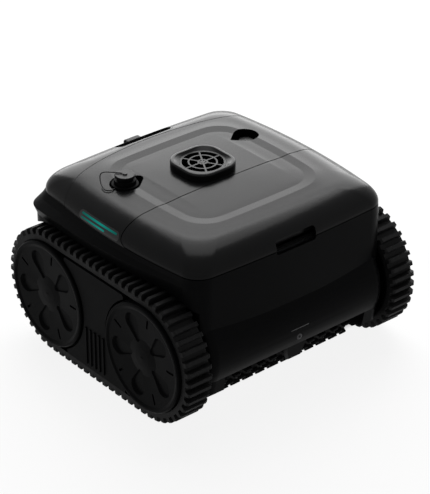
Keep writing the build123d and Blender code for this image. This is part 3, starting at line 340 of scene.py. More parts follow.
plate_plastic = moulded("plate_plastic", (0.0045, 0.0046, 0.0048), (0.0065, 0.0066, 0.0070),
                        smooth=0.42, dull=0.55, shine=0.08, grain=1500.0)
rub(plate_plastic, scuff_marks, {"Stretch": (900.0, 18.0, 900.0)}, pale=(0.016, 0.016, 0.017), dull=0.7)
dress(plate_plastic, "bottom_plate")

# Plate and post screws: black pan-head screws with a cross recess, four through the
# bottom plate into the tub's bosses and one in the nose above the brush post.
screw_head = {"radius": 0.0045, "height": 0.0026, "dome": 0.0011, "shank": 0.0020, "length": 0.0090}
screw_cross = {"arm": 0.0024, "width": 0.0010, "depth": 0.0015}
screw_sides = 48
screw_dome_steps = 4
head_top_skin = 0.0001
faces_along = 0.9  # a face whose normal has this share along an axis faces that way
faces_across = 0.5  # a face whose normal has less than this share stands along the axis
sharp_edge = math.radians(35)


def take(piece):
    """Make a piece the one that the next steps work on."""
    bpy.ops.object.select_all(action="DESELECT")
    bpy.context.view_layer.objects.active = piece
    piece.select_set(True)


def pick_faces(piece, wanted):
    """Select a mesh's faces by their place or normal, and go to edit mode."""
    bpy.ops.object.mode_set(mode="EDIT")
    bpy.ops.mesh.select_mode(type="FACE")
    bpy.ops.mesh.select_all(action="DESELECT")
    bpy.ops.object.mode_set(mode="OBJECT")
    for polygon in piece.data.polygons:
        polygon.select = wanted(polygon)
    bpy.ops.object.mode_set(mode="EDIT")


def screw(name):
    """A screw along Z, its head's top at the origin."""
    bpy.ops.object.select_all(action="DESELECT")
    height, dome = screw_head["height"], screw_head["dome"]
    bpy.ops.mesh.primitive_cylinder_add(vertices=screw_sides, radius=screw_head["radius"], depth=height,
                                        location=(0, 0, -height / 2))
    piece = bpy.context.object
    piece.name = name
    bpy.ops.object.transform_apply(location=True, rotation=True, scale=True)
    pick_faces(piece, lambda polygon: polygon.normal.z < -faces_along)
    bpy.ops.mesh.inset(thickness=screw_head["radius"] - screw_head["shank"])
    bpy.ops.mesh.extrude_region_move(TRANSFORM_OT_translate={"value": (0, 0, -screw_head["length"])})
    bpy.ops.object.mode_set(mode="OBJECT")
    pick_faces(piece, lambda polygon: polygon.normal.z > faces_along and polygon.center.z > -head_top_skin)
    bpy.ops.mesh.bevel(offset=dome, segments=screw_dome_steps, affect="EDGES")
    bpy.ops.object.mode_set(mode="OBJECT")
    bpy.ops.object.select_all(action="DESELECT")
    bpy.ops.mesh.primitive_cube_add(size=1.0, location=(0, 0, 0))
    cutter = bpy.context.object
    cutter.dimensions = (screw_cross["width"], screw_cross["width"], 2 * screw_cross["depth"])
    bpy.ops.object.transform_apply(location=True, rotation=True, scale=True)
    pick_faces(cutter, lambda polygon: abs(polygon.normal.z) < faces_across)
    arm_reach = screw_cross["arm"] - screw_cross["width"] / 2
    bpy.ops.mesh.extrude_faces_move(TRANSFORM_OT_shrink_fatten={"value": arm_reach})
    bpy.ops.mesh.select_all(action="SELECT")
    bpy.ops.mesh.normals_make_consistent(inside=False)
    bpy.ops.object.mode_set(mode="OBJECT")
    recess = piece.modifiers.new("recess", "BOOLEAN")
    recess.operation = "DIFFERENCE"
    recess.solver = "EXACT"
    recess.object = cutter
    take(piece)
    bpy.ops.object.modifier_apply(modifier="recess")
    bpy.data.objects.remove(cutter)
    bpy.ops.object.shade_smooth_by_angle(angle=sharp_edge)
    return piece


def set_in_place(piece, turn, place):
    """Turn and move a finished piece, with its place kept in its mesh."""
    take(piece)
    piece.rotation_euler = turn
    piece.location = place
    bpy.ops.object.transform_apply(location=True, rotation=True, scale=True)


black_oxide = metal("black_oxide", (0.030, 0.030, 0.031), (0.050, 0.050, 0.052),
                    smooth=0.36, dull=0.5, marks=(900.0, 900.0, 900.0))
plate_low, plate_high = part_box("bottom_screws")
post_low, post_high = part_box("post_screw")
post_screw_piece = screw("post_screw_head")
to_the_front = (math.radians(90), 0, 0)
head_down = (math.radians(180), 0, 0)
post_place = (0, post_low[1], (post_low[2] + post_high[2]) / 2)
screw_meshes = [(post_screw_piece, to_the_front, post_place)]
for x in (plate_low[0] + screw_head["radius"], plate_high[0] - screw_head["radius"]):
    for y in (plate_low[1] + screw_head["radius"], plate_high[1] - screw_head["radius"]):
        copy = post_screw_piece.copy()
        copy.data = post_screw_piece.data.copy()
        copy.name = "plate_screw_head"
        bpy.context.collection.objects.link(copy)
        screw_meshes.append((copy, head_down, (x, y, plate_low[2])))
for piece, turn, place in screw_meshes:
    set_in_place(piece, turn, place)
    piece.data.materials.append(black_oxide)
    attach(piece, "housing")
    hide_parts("post_screw" if piece is post_screw_piece else "bottom_screws")

# Nose highlight strip: a slim pale grey strip in the slot above the post screw, the one pale line on the
# nose.
# It is a painted highlight, standing for light caught on the slot's lip, with rounded front edges.
lip_highlight = {"half_width": 0.0154, "low": 0.09225, "high": 0.09375, "front": -0.1778, "back": -0.1766,
              "round": 0.0003, "round_steps": 3}
soft_edge = math.radians(40)
highlight_centre = (0, (lip_highlight["front"] + lip_highlight["back"]) / 2,
                (lip_highlight["low"] + lip_highlight["high"]) / 2)
bpy.ops.object.select_all(action="DESELECT")
bpy.ops.mesh.primitive_cube_add(size=1.0, location=highlight_centre)
nose_highlight_strip = bpy.context.object
nose_highlight_strip.name = "nose_highlight_strip"
nose_highlight_strip.scale = (2 * lip_highlight["half_width"], lip_highlight["back"] - lip_highlight["front"],
                     lip_highlight["high"] - lip_highlight["low"])
bpy.ops.object.transform_apply(location=True, rotation=True, scale=True)
pick_faces(nose_highlight_strip, lambda polygon: polygon.normal.y < -faces_along)
bpy.ops.mesh.bevel(offset=lip_highlight["round"], segments=lip_highlight["round_steps"], affect="EDGES")
bpy.ops.object.mode_set(mode="OBJECT")
bpy.ops.object.shade_smooth_by_angle(angle=soft_edge)
# Pale grey: a painted highlight, for light caught on the slot's lip.
highlight_grey = moulded("highlight_grey", (0.036, 0.037, 0.039), (0.048, 0.049, 0.051),
                     smooth=0.35, dull=0.45, shine=0.3, grain=2000.0)
nose_highlight_strip.data.materials.append(highlight_grey)
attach(nose_highlight_strip, "housing")

# Brushes: two rollers side by side under the nose, each a black core with three soft
# sleeves of rubber lugs, carried in the middle by a bearing. The lugs' tips are rubbed.
tip_wear = bpy.data.node_groups.new("tip_wear", "ShaderNodeTree")
for name in ("Half Run", "Axis Y", "Axis Z", "Start", "End"):
    tip_wear.interface.new_socket(name, in_out="INPUT", socket_type="NodeSocketFloat")
tip_wear.interface.new_socket("Mask", in_out="OUTPUT", socket_type="NodeSocketFloat")
tip_nodes, tip_links = tip_wear.nodes, tip_wear.links
tip_step = sums_in(tip_nodes, tip_links)
tip_enter = tip_nodes.new("NodeGroupInput")
tip_leave = tip_nodes.new("NodeGroupOutput")
tip_place = tip_nodes.new("ShaderNodeTexCoord")
tip_split = tip_nodes.new("ShaderNodeSeparateXYZ")
tip_links.new(tip_place.outputs["Object"], tip_split.inputs["Vector"])
tip_y = tip_step("ABSOLUTE", tip_step("SUBTRACT", tip_split.outputs["Y"], tip_enter.outputs["Axis Y"]))
tip_over = tip_step("MAXIMUM", tip_step("SUBTRACT", tip_y, tip_enter.outputs["Half Run"]), 0.0)
tip_z = tip_step("SUBTRACT", tip_split.outputs["Z"], tip_enter.outputs["Axis Z"])
tip_reach = tip_step("SQRT", tip_step("ADD", tip_step("MULTIPLY", tip_over, tip_over),
                                      tip_step("MULTIPLY", tip_z, tip_z)))
tip_range = tip_nodes.new("ShaderNodeMapRange")
tip_range.interpolation_type = "SMOOTHSTEP"
tip_blotch = tip_nodes.new("ShaderNodeTexNoise")
tip_blotch.inputs["Scale"].default_value = 220.0
tip_links.new(tip_place.outputs["Object"], tip_blotch.inputs["Vector"])
tip_links.new(tip_reach, tip_range.inputs["Value"])
tip_links.new(tip_enter.outputs["Start"], tip_range.inputs["From Min"])
tip_links.new(tip_enter.outputs["End"], tip_range.inputs["From Max"])
tip_mask = tip_step("MULTIPLY", tip_range.outputs["Result"], tip_blotch.outputs["Fac"])
tip_links.new(tip_mask, tip_leave.inputs["Mask"])

roller_plastic = moulded("roller_plastic", (0.0045, 0.0045, 0.0047), (0.0070, 0.0070, 0.0073),
                         smooth=0.4, dull=0.52, shine=0.08, grain=1600.0)
dress(roller_plastic, "brush_core_left", "brush_core_right", "brush_bearing")
brush_axis = (-0.107, 0.0304098)
sleeve = {"tip": 0.0300, "base": 0.0245, "bore": 0.0141, "length": 0.0400, "gap": 0.0025, "inner_end": 0.0019,
          "count": 3, "faces": 40, "lug_every": 4, "rows": 4, "tip_round": 0.0008, "round_steps": 2,
          "worn": 0.004}
along_x = (0, math.radians(90), 0)
brush_rubber = moulded("brush_rubber", (0.0042, 0.0042, 0.0043), (0.0066, 0.0066, 0.0068),
                       smooth=0.6, dull=0.72, shine=0.05, grain=1400.0, depth=0.00006)
lug_wear = {"Half Run": 0.0, "Axis Y": brush_axis[0], "Axis Z": brush_axis[1],
            "Start": sleeve["tip"] - sleeve["worn"], "End": sleeve["tip"]}
rub(brush_rubber, tip_wear, lug_wear, pale=(0.020, 0.020, 0.021), dull=0.8)
bpy.ops.object.select_all(action="DESELECT")
bpy.ops.mesh.primitive_cylinder_add(vertices=sleeve["faces"], radius=sleeve["base"], depth=sleeve["length"],
                                    location=(0, 0, 0))
first_sleeve = bpy.context.object
pick_faces(first_sleeve, lambda polygon: abs(polygon.normal.z) > faces_along)
bpy.ops.mesh.inset(thickness=sleeve["base"] - sleeve["bore"])
bpy.ops.mesh.bridge_edge_loops()
for row in range(1, sleeve["rows"]):
    bpy.ops.mesh.select_all(action="SELECT")
    cut_z = (row / sleeve["rows"] - 0.5) * sleeve["length"]
    bpy.ops.mesh.bisect(plane_co=(0, 0, cut_z), plane_no=(0, 0, 1))
bpy.ops.object.mode_set(mode="OBJECT")


def carries_lug(polygon):
    """Every fourth face round the sleeve, turned by half that from row to row, carries a lug."""
    out = polygon.normal.x * polygon.center.x + polygon.normal.y * polygon.center.y
    if abs(polygon.normal.z) > faces_across or out < sleeve["base"] * faces_along:
        return False
    row = int((polygon.center.z / sleeve["length"] + 0.5) * sleeve["rows"])
    step = round(math.atan2(polygon.center.y, polygon.center.x) / (2 * math.pi) * sleeve["faces"] - 0.5)
    return (step + row % 2 * sleeve["lug_every"] // 2) % sleeve["lug_every"] == 0


pick_faces(first_sleeve, carries_lug)
bpy.ops.mesh.extrude_faces_move(TRANSFORM_OT_shrink_fatten={"value": sleeve["tip"] - sleeve["base"]})
bpy.ops.mesh.bevel(offset=sleeve["tip_round"], segments=sleeve["round_steps"], affect="EDGES")
bpy.ops.object.mode_set(mode="OBJECT")
bpy.ops.object.shade_smooth_by_angle(angle=soft_edge)
first_sleeve.data.materials.append(brush_rubber)
for side, sign in (("left", -1), ("right", 1)):
    for number in range(sleeve["count"]):
        lugs = first_sleeve.copy()
        lugs.data = first_sleeve.data.copy()
        lugs.name = f"brush_lugs_{side}_{number + 1}"
        bpy.context.collection.objects.link(lugs)
        middle = sleeve["inner_end"] + sleeve["length"] / 2 + number * (sleeve["length"] + sleeve["gap"])
        set_in_place(lugs, along_x, (sign * middle, *brush_axis))
        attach(lugs, f"brush_{side}")
        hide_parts(f"brush_sleeves_{side}")
bpy.data.objects.remove(first_sleeve)

# Axles: stainless stub shafts flanged to the tub, one at each wheel, with a screw and
# washer in the end under the hubcap.
axle_steel = metal("axle_steel", (0.42, 0.42, 0.43), (0.55, 0.55, 0.56),
                   smooth=0.24, dull=0.36, marks=(2200.0, 60.0, 60.0))
dress(axle_steel, "axle_front_left", "axle_front_right", "axle_rear_left", "axle_rear_right", "axle_screws")

# Wheels and hubcaps: black glass-filled nylon drums with gear teeth inside the rim, each
# closed by a snapped-in cap with five petals. Caps and panels are scuffed by pool walls.
wheel_plastic = moulded("wheel_plastic", (0.0030, 0.0031, 0.0033), (0.0042, 0.0043, 0.0046),
                        smooth=0.32, dull=0.42, shine=0.015, grain=1600.0)
wall_scuffs = {"Stretch": (600.0, 22.0, 600.0)}
wall_scuff_tone = (0.008, 0.008, 0.0084)
rub(wheel_plastic, scuff_marks, wall_scuffs, pale=wall_scuff_tone, dull=0.6)
for end in ("front", "rear"):
    for side in ("left", "right"):
        dress(wheel_plastic, f"wheel_{end}_{side}", f"hubcap_{end}_{side}")

# Tracks: moulded rubber belts with close cross ribs, and a guide rib inside that runs in
# the drums' grooves. The cross ribs' tips are rubbed grey.
track_rubber = moulded("track_rubber", (0.0050, 0.0050, 0.0051), (0.0078, 0.0078, 0.0080),
                       smooth=0.48, dull=0.62, shine=0.08, grain=1200.0, depth=0.00008)
rib_wear = {"Half Run": 0.1, "Axis Y": 0.0, "Axis Z": 0.09, "Start": 0.0855, "End": 0.0900}
rub(track_rubber, tip_wear, rib_wear, pale=(0.016, 0.016, 0.0165), dull=0.75)
dress(track_rubber, "track_left", "track_right")

# Side panels: plain black covers between the wheels, with five upright ribs low down,
# carried on posts from the tub.
panel_plastic = moulded("panel_plastic", (0.0030, 0.0031, 0.0033), (0.0042, 0.0043, 0.0046),
                        smooth=0.34, dull=0.44, shine=0.015, grain=1800.0)
rub(panel_plastic, scuff_marks, wall_scuffs, pale=wall_scuff_tone, dull=0.6)
dress(panel_plastic, "side_panel_left", "side_panel_right")

# Rear deck: the fixed half of the top, of the same charcoal moulding as the tub, snapped
# on over the pump. Its sunk panel is one even crown that runs on across the lid; the
# outlet, the port, the button and the lights are let into it.
panel = {"half_width": 0.0745, "front": -0.088, "rear": 0.080, "lid_edge": -0.0274, "deck_edge": -0.0260,
         "top": 0.2470, "low": 0.2435, "fall_at": 0.080, "side_fall": 0.0015, "end_fall": 0.0018,
         "lip": 0.0008, "tuck": 0.00004, "blend": 0.030, "margin": 0.04, "upward": 0.3}
panel_columns = 75
deck_rows = 42
nudge = 0.00001
over_the_top = 0.3
outlet_middle_y = 0.017
outlet_hole = 0.0345


def panel_height(x, y):
    """The height of the sunk panel's crown."""
    return panel["top"] - math.hypot(panel["side_fall"] * (x / panel["fall_at"]) ** 2,
                                     panel["end_fall"] * (y / panel["fall_at"]) ** 2)


def on_panel(spot, grow=0.0):
    """Whether a point of the top's skin lies within the sunk panel's even crown."""
    aside = abs(spot.x) < panel["half_width"] + grow
    along = panel["front"] - grow < spot.y < panel["rear"] + grow
    return aside and along and spot.z > panel["low"]


def skin_height(shell, x, y):
    """The height of a top shell's skin at a place."""
    hit, spot = shell.ray_cast((x + nudge, y + nudge, over_the_top), (0, 0, -1))[:2]
    return spot.z if hit else panel_height(x, y)


def panel_skin(name, packed, outer, edge, rows):
    """The crown from an outer limit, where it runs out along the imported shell, to the seam's edge."""
    column = 2 * panel["half_width"] / panel_columns
    row = (edge - outer) / rows
    bpy.ops.object.select_all(action="DESELECT")
    bpy.ops.mesh.primitive_grid_add(x_subdivisions=panel_columns + 2, y_subdivisions=rows + 1, size=1.0)
    skin = bpy.context.object
    skin.name = name
    skin.scale = ((panel_columns + 2) * column, (rows + 1) * abs(row), 1)
    skin.location = (0, (outer - row + edge) / 2, 0)
    bpy.ops.object.transform_apply(location=True, rotation=True, scale=True)
    for vertex in skin.data.vertices:
        x, y = vertex.co.x, vertex.co.y
        aside = panel["half_width"] - abs(x)
        along = abs(y - outer) if (y - outer) * row > 0 else -abs(y - outer)
        if min(aside, along) < -column / 4:
            vertex.co.z = skin_height(packed, x, y) - panel["tuck"]
            continue
        share = max(1 - min(aside, along) / panel["blend"], 0) ** 2
        side = math.copysign(panel["half_width"], x)
        side_step = skin_height(packed, side, y) - panel_height(side, y)
        end_step = skin_height(packed, x, outer) - panel_height(x, outer)
        near = (aside + nudge) / (aside + along + 2 * nudge)
        vertex.co.z = panel_height(x, y) + share * (near * end_step + (1 - near) * side_step)
    bpy.ops.object.mode_set(mode="EDIT")
    bpy.ops.mesh.select_mode(type="EDGE")
    bpy.ops.mesh.select_all(action="DESELECT")
    bpy.ops.object.mode_set(mode="OBJECT")
    for line in skin.data.edges:
        ends = [skin.data.vertices[end].co.y for end in line.vertices]
        line.select = all(abs(y - edge) < abs(row) / 4 for y in ends)
    bpy.ops.object.mode_set(mode="EDIT")
    bpy.ops.mesh.extrude_region_move(TRANSFORM_OT_translate={"value": (0, 0, -panel["lip"])})
    bpy.ops.object.mode_set(mode="OBJECT")
    bpy.ops.object.shade_smooth_by_angle(angle=soft_edge)
    return skin


def packed_normals(mesh, source):
    """The normal at each face corner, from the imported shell's triangle that the face was cut from."""
    normals = []
    for polygon in mesh.polygons:
        face = source.closest_point_on_mesh(polygon.center)[-1]
        triangle = source.data.polygons[face]
        corners = [source.data.vertices[corner].co for corner in triangle.vertices]
        turns = [source.data.corner_normals[loop].vector for loop in triangle.loop_indices]
        for corner in polygon.vertices:
            weights = poly_3d_calc(corners, mesh.vertices[corner].co)
            normal = sum((weight * turn for weight, turn in zip(weights, turns)), Vector())
            normals.append(normal.normalized())
    return normals


def over_outlet(polygon):
    """Whether a face of the crown lies over the outlet's hole."""
    return math.hypot(polygon.center.x, polygon.center.y - outlet_middle_y) < outlet_hole


def crowned_shell(name, node, outer, edge, rows):
    """A top shell as it is packed, with its part of the sunk panel made anew as one even crown."""
    upward, margin = panel["upward"], panel["margin"]
    right, left = (panel["half_width"], 0, 0), (-panel["half_width"], 0, 0)
    shell = bpy.data.objects.new(name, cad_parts[node].data.copy())
    bpy.context.collection.objects.link(shell)
    shell.data.materials.clear()
    shell.data.materials.append(shell_plastic)
    take(shell)
    bpy.ops.object.mode_set(mode="EDIT")
    bpy.ops.mesh.select_all(action="SELECT")
    bpy.ops.mesh.remove_doubles(threshold=nudge)
    bpy.ops.mesh.customdata_custom_splitnormals_clear()
    bpy.ops.object.mode_set(mode="OBJECT")
    for point, across in ((right, (1, 0, 0)), (left, (1, 0, 0)), ((0, outer, 0), (0, 1, 0))):
        pick_faces(shell, lambda polygon: polygon.normal.z > upward and on_panel(polygon.center, margin))
        bpy.ops.mesh.bisect(plane_co=point, plane_no=across)
        bpy.ops.object.mode_set(mode="OBJECT")
    pick_faces(shell, lambda polygon: polygon.normal.z > upward and on_panel(polygon.center))
    bpy.ops.mesh.delete(type="FACE")
    bpy.ops.object.mode_set(mode="OBJECT")
    for vertex in shell.data.vertices:
        if on_panel(vertex.co):
            vertex.co.z = min(vertex.co.z, panel_height(vertex.co.x, vertex.co.y) - panel["tuck"])
    bpy.ops.object.shade_smooth()
    shell.data.normals_split_custom_set(packed_normals(shell.data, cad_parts[node]))
    skin = panel_skin(f"{name}_panel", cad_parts[node], outer, edge, rows)
    skin.data.materials.append(shell_plastic)
    if outer > edge:
        pick_faces(skin, over_outlet)
        bpy.ops.mesh.delete(type="FACE")
        bpy.ops.object.mode_set(mode="OBJECT")
    shell.select_set(True)
    bpy.context.view_layer.objects.active = shell
    bpy.ops.object.join()
    return shell


deck_shell = crowned_shell("deck_shell", "rear_deck", panel["rear"], panel["deck_edge"], deck_rows)
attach(deck_shell, "housing")
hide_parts("rear_deck")

# Outlet ring and grille: a black moulded funnel standing out of the deck, closed by a
# grille of rings and spokes against fingers.
outlet_plastic = moulded("outlet_plastic", (0.0046, 0.0047, 0.0049), (0.0062, 0.0063, 0.0066),
                         smooth=0.28, dull=0.36, shine=0.1, grain=2200.0)
dress(outlet_plastic, "outlet_ring", "outlet_grille")

# Charging port: a black collar in its well, closed by a rubber plug with a grey disc on
# top that holds the eyelet of the strap.
port_plastic = moulded("port_plastic", (0.0036, 0.0036, 0.0038), (0.0050, 0.0050, 0.0053),
                       smooth=0.56, dull=0.68, shine=0.02, grain=2000.0)
dress(port_plastic, "charge_port")
plug_rubber = moulded("plug_rubber", (0.0040, 0.0040, 0.0042), (0.0058, 0.0058, 0.0061),
                      smooth=0.5, dull=0.62, shine=0.03, grain=2400.0, depth=0.00005)
dress(plug_rubber, "charge_cap")
disc_grey = moulded("disc_grey", (0.014, 0.0145, 0.015), (0.020, 0.0205, 0.021),
                    smooth=0.3, dull=0.4, shine=0.08, grain=2600.0, depth=0.00003)
dress(disc_grey, "cap_disc")

# Cap grip: a ribbed ring of the same rubber round the plug's neck, to pull it by.
# It is moulded on, and sits just above the collar.
cap_grip = {"x": -0.104, "y": 0.048, "low": 0.2459, "high": 0.2514, "radius": 0.0138, "bore": 0.0111,
            "ribs": 32, "rib": 0.0007, "round": 0.0003, "round_steps": 2}
grip_middle = (cap_grip["x"], cap_grip["y"], (cap_grip["low"] + cap_grip["high"]) / 2)
bpy.ops.object.select_all(action="DESELECT")
bpy.ops.mesh.primitive_cylinder_add(vertices=2 * cap_grip["ribs"], radius=cap_grip["radius"],
                                    depth=cap_grip["high"] - cap_grip["low"], location=grip_middle)
grip_ring = bpy.context.object
grip_ring.name = "cap_grip"
bpy.ops.object.transform_apply(location=True, rotation=True, scale=True)
pick_faces(grip_ring, lambda polygon: abs(polygon.normal.z) > faces_along)
bpy.ops.mesh.inset(thickness=cap_grip["radius"] - cap_grip["bore"])
bpy.ops.mesh.bridge_edge_loops()
bpy.ops.object.mode_set(mode="OBJECT")


def is_rib(polygon):
    """Every second face round the outside of the grip."""
    x, y = polygon.center.x - cap_grip["x"], polygon.center.y - cap_grip["y"]
    middle_radius = (cap_grip["radius"] + cap_grip["bore"]) / 2
    outside = abs(polygon.normal.z) < faces_across and math.hypot(x, y) > middle_radius
    return outside and round(math.atan2(y, x) / math.pi * cap_grip["ribs"] - 0.5) % 2 == 0


pick_faces(grip_ring, is_rib)
bpy.ops.mesh.extrude_faces_move(TRANSFORM_OT_shrink_fatten={"value": cap_grip["rib"]})
bpy.ops.mesh.bevel(offset=cap_grip["round"], segments=cap_grip["round_steps"], affect="EDGES")
bpy.ops.mesh.select_all(action="SELECT")
bpy.ops.mesh.normals_make_consistent(inside=False)
bpy.ops.object.mode_set(mode="OBJECT")
bpy.ops.object.shade_smooth_by_angle(angle=sharp_edge)
grip_ring.data.materials.append(plug_rubber)
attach(grip_ring, "charge_cap")

# Cap strap: a thin moulded rubber cord from the eyelet on the plug's disc round to the
# port's collar, so that the plug isn't lost. Its whole length shows.
strap_route = [
    (-0.1063, 0.0508, 0.2594), (-0.1155, 0.0615, 0.2599), (-0.1247, 0.0735, 0.2580),
    (-0.1306, 0.0663, 0.2490), (-0.1360, 0.0505, 0.2446), (-0.1290, 0.0430, 0.2450),
    (-0.1222, 0.0462, 0.2446),
]
strap_radius = 0.00075
strap_smooth_angle = math.radians(50)
strap_curve = bpy.data.curves.new("tether_strap", "CURVE")
strap_curve.dimensions = "3D"
strap_line = strap_curve.splines.new("NURBS")
strap_line.points.add(len(strap_route) - 1)
for point, spot in zip(strap_line.points, strap_route):
    point.co = (*spot, 1)
strap_line.order_u = 3
strap_line.use_endpoint_u = True
strap_line.resolution_u = 12
strap_guide = bpy.data.objects.new("strap_guide", strap_curve)
strap_path = [tuple(vertex.co) for vertex in bpy.data.meshes.new_from_object(strap_guide).vertices]
strap_curve.bevel_depth = strap_radius
strap_curve.bevel_resolution = 4
strap_curve.use_fill_caps = True
strap = bpy.data.objects.new("tether_strap", bpy.data.meshes.new_from_object(strap_guide))
bpy.data.objects.remove(strap_guide)
bpy.context.collection.objects.link(strap)
take(strap)
bpy.ops.object.shade_smooth_by_angle(angle=strap_smooth_angle)
strap_rubber = moulded("strap_rubber", (0.010, 0.010, 0.0105), (0.016, 0.016, 0.0165),
                       smooth=0.42, dull=0.55, shine=0.1, grain=2500.0, depth=0.00005)
strap.data.materials.append(strap_rubber)
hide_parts("cap_tether")
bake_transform(strap)

# Power button: a glossy black moulded button in a drop-shaped well of the deck, held up
# by a spring under it.
button_plastic = moulded("button_plastic", (0.0042, 0.0042, 0.0044), (0.0056, 0.0056, 0.0058),
                         smooth=0.2, dull=0.3, shine=0.1, grain=2600.0, depth=0.00002)
dress(button_plastic, "power_button")

# Status light: a smoked window let into the deck's left flank, with two light guides
# that glow teal, brightest along the middle.
window_smoke = moulded("window_smoke", (0.0030, 0.0034, 0.0036), (0.0042, 0.0046, 0.0048),
                       smooth=0.1, dull=0.18, shine=0.2, grain=3000.0, depth=0.00001)
dress(window_smoke, "light_window")
bar_low, bar_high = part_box("light_bars")
bar_end_glow = (0.002, 0.06, 0.05, 1)
bar_core_glow = (0.003, 0.19, 0.16, 1)
bar_core_at = 0.45
bar_glow = bpy.data.materials.new("bar_glow")
bar_glow.use_nodes = True
glow_nodes, glow_links = bar_glow.node_tree.nodes, bar_glow.node_tree.links
glow_skin = glow_nodes["Principled BSDF"]
glow_skin.inputs["Roughness"].default_value = 0.3
glow_skin.inputs["Specular IOR Level"].default_value = 0.02
glow_skin.inputs["Emission Strength"].default_value = 1.0
glow_place = glow_nodes.new("ShaderNodeTexCoord")
glow_split = glow_nodes.new("ShaderNodeSeparateXYZ")
glow_along = glow_nodes.new("ShaderNodeMapRange")
glow_along.inputs["From Min"].default_value = bar_low[1]
glow_along.inputs["From Max"].default_value = bar_high[1]
glow_ramp = glow_nodes.new("ShaderNodeValToRGB")
for element in glow_ramp.color_ramp.elements:
    element.color = bar_end_glow
glow_core = glow_ramp.color_ramp.elements.new(bar_core_at)
glow_core.color = bar_core_glow
glow_tint = glow_nodes.new("ShaderNodeMix")
glow_tint.data_type = "RGBA"
glow_tint.inputs["Factor"].default_value = 0.85
glow_tint.inputs["B"].default_value = (0.004, 0.03, 0.026, 1)
glow_links.new(glow_place.outputs["Object"], glow_split.inputs["Vector"])
glow_links.new(glow_split.outputs["Y"], glow_along.inputs["Value"])
glow_links.new(glow_along.outputs["Result"], glow_ramp.inputs["Fac"])
glow_links.new(glow_ramp.outputs["Color"], glow_skin.inputs["Emission Color"])
glow_links.new(glow_ramp.outputs["Color"], glow_tint.inputs["A"])
glow_links.new(glow_tint.outputs["Result"], glow_skin.inputs["Base Color"])
dress(bar_glow, "light_bars")

# Rear panel and handle well: the rounded tail cover with a slot and a pocket behind it
# for the fingers, where the machine is lifted out.
dress(shell_plastic, "rear_panel")
well_plastic = moulded("well_plastic", (0.020, 0.0205, 0.021), (0.028, 0.0285, 0.029),
                       smooth=0.4, dull=0.5, shine=0.2, grain=1800.0)
dress(well_plastic, "handle_well")

# Rear seal: a thin black rubber bead in the joint between the deck and the rear panel,
# pressed in so that it stands almost flush.
seal_bead = {"radius": 0.4248, "middle_y": -0.295, "half_span": 0.146, "width": 0.0011, "proud": 0.00008,
             "depth": 0.0008, "onto_deck": 0.0012}
bead_steps = 96
bpy.ops.object.select_all(action="DESELECT")
bpy.ops.mesh.primitive_grid_add(x_subdivisions=bead_steps, y_subdivisions=1, size=2.0)
rear_seal = bpy.context.object
rear_seal.name = "rear_seal"
for vertex in rear_seal.data.vertices:
    x = vertex.co.x * seal_bead["half_span"]
    fall = math.sqrt(seal_bead["radius"] ** 2 - x ** 2) + seal_bead["middle_y"]
    height = skin_height(deck_shell, x, fall - seal_bead["onto_deck"]) + seal_bead["proud"]
    vertex.co = (x, fall + vertex.co.y * seal_bead["width"] / 2, height)
bead_wall = rear_seal.modifiers.new("bead_wall", "SOLIDIFY")
bead_wall.thickness = seal_bead["depth"]
bead_wall.offset = -1.0
bpy.ops.object.modifier_apply(modifier="bead_wall")
bpy.ops.object.shade_smooth_by_angle(angle=sharp_edge)
rear_seal.data.materials.append(seal_rubber)
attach(rear_seal, "housing")

# Lid: the front half of the top, of the same charcoal moulding, on a hinge bracket with
# two steel pins, closing on a rubber gasket round the filter chamber.
lid_rows = 24
lid_shell = crowned_shell("lid_shell", "lid", panel["front"], panel["lid_edge"], lid_rows)
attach(lid_shell, "lid")
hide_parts("lid")
dress(duct_plastic, "lid_hinge_bracket")
dress(axle_steel, "lid_hinge_pins")
dress(seal_rubber, "lid_gasket")

# Studio: a pale floor that keeps a soft shadow, with a painted shade patch under the machine where its white
# glow fades out, a white surround, one wide soft box behind that lies along the top's gloss, one above for
# its shoulders, and the camera.
floor_size = 16.0
floor_white = 0.88
painted_shade_half_width = 0.14
painted_shade_middle_y = 0.045
painted_shade_half_length = 0.13
painted_shade_fade = 0.03
bpy.ops.object.select_all(action="DESELECT")
bpy.ops.mesh.primitive_plane_add(size=floor_size, location=(0, 0, 0))
floor = bpy.context.object
floor.name = "floor"


def ray_shows_background(nodes, links):
    """1 for camera, glossy and transmission rays, which see the white surround, else 0."""
    path = nodes.new("ShaderNodeLightPath")
    step = sums_in(nodes, links)
    seen = path.outputs["Is Camera Ray"]
    for kind in ("Is Glossy Ray", "Is Transmission Ray"):
        seen = step("MAXIMUM", seen, path.outputs[kind])
    return seen


floor_paint = bpy.data.materials.new("floor_paint")
floor_paint.use_nodes = True
floor_nodes, floor_links = floor_paint.node_tree.nodes, floor_paint.node_tree.links
floor_skin = floor_nodes["Principled BSDF"]
floor_skin.inputs["Base Color"].default_value = (0.9, 0.9, 0.9, 1)
floor_skin.inputs["Roughness"].default_value = 0.9
floor_skin.inputs["Specular IOR Level"].default_value = 0.0
floor_place = floor_nodes.new("ShaderNodeTexCoord")
floor_split = floor_nodes.new("ShaderNodeSeparateXYZ")
floor_links.new(floor_place.outputs["Object"], floor_split.inputs["Vector"])
floor_step = sums_in(floor_nodes, floor_links)
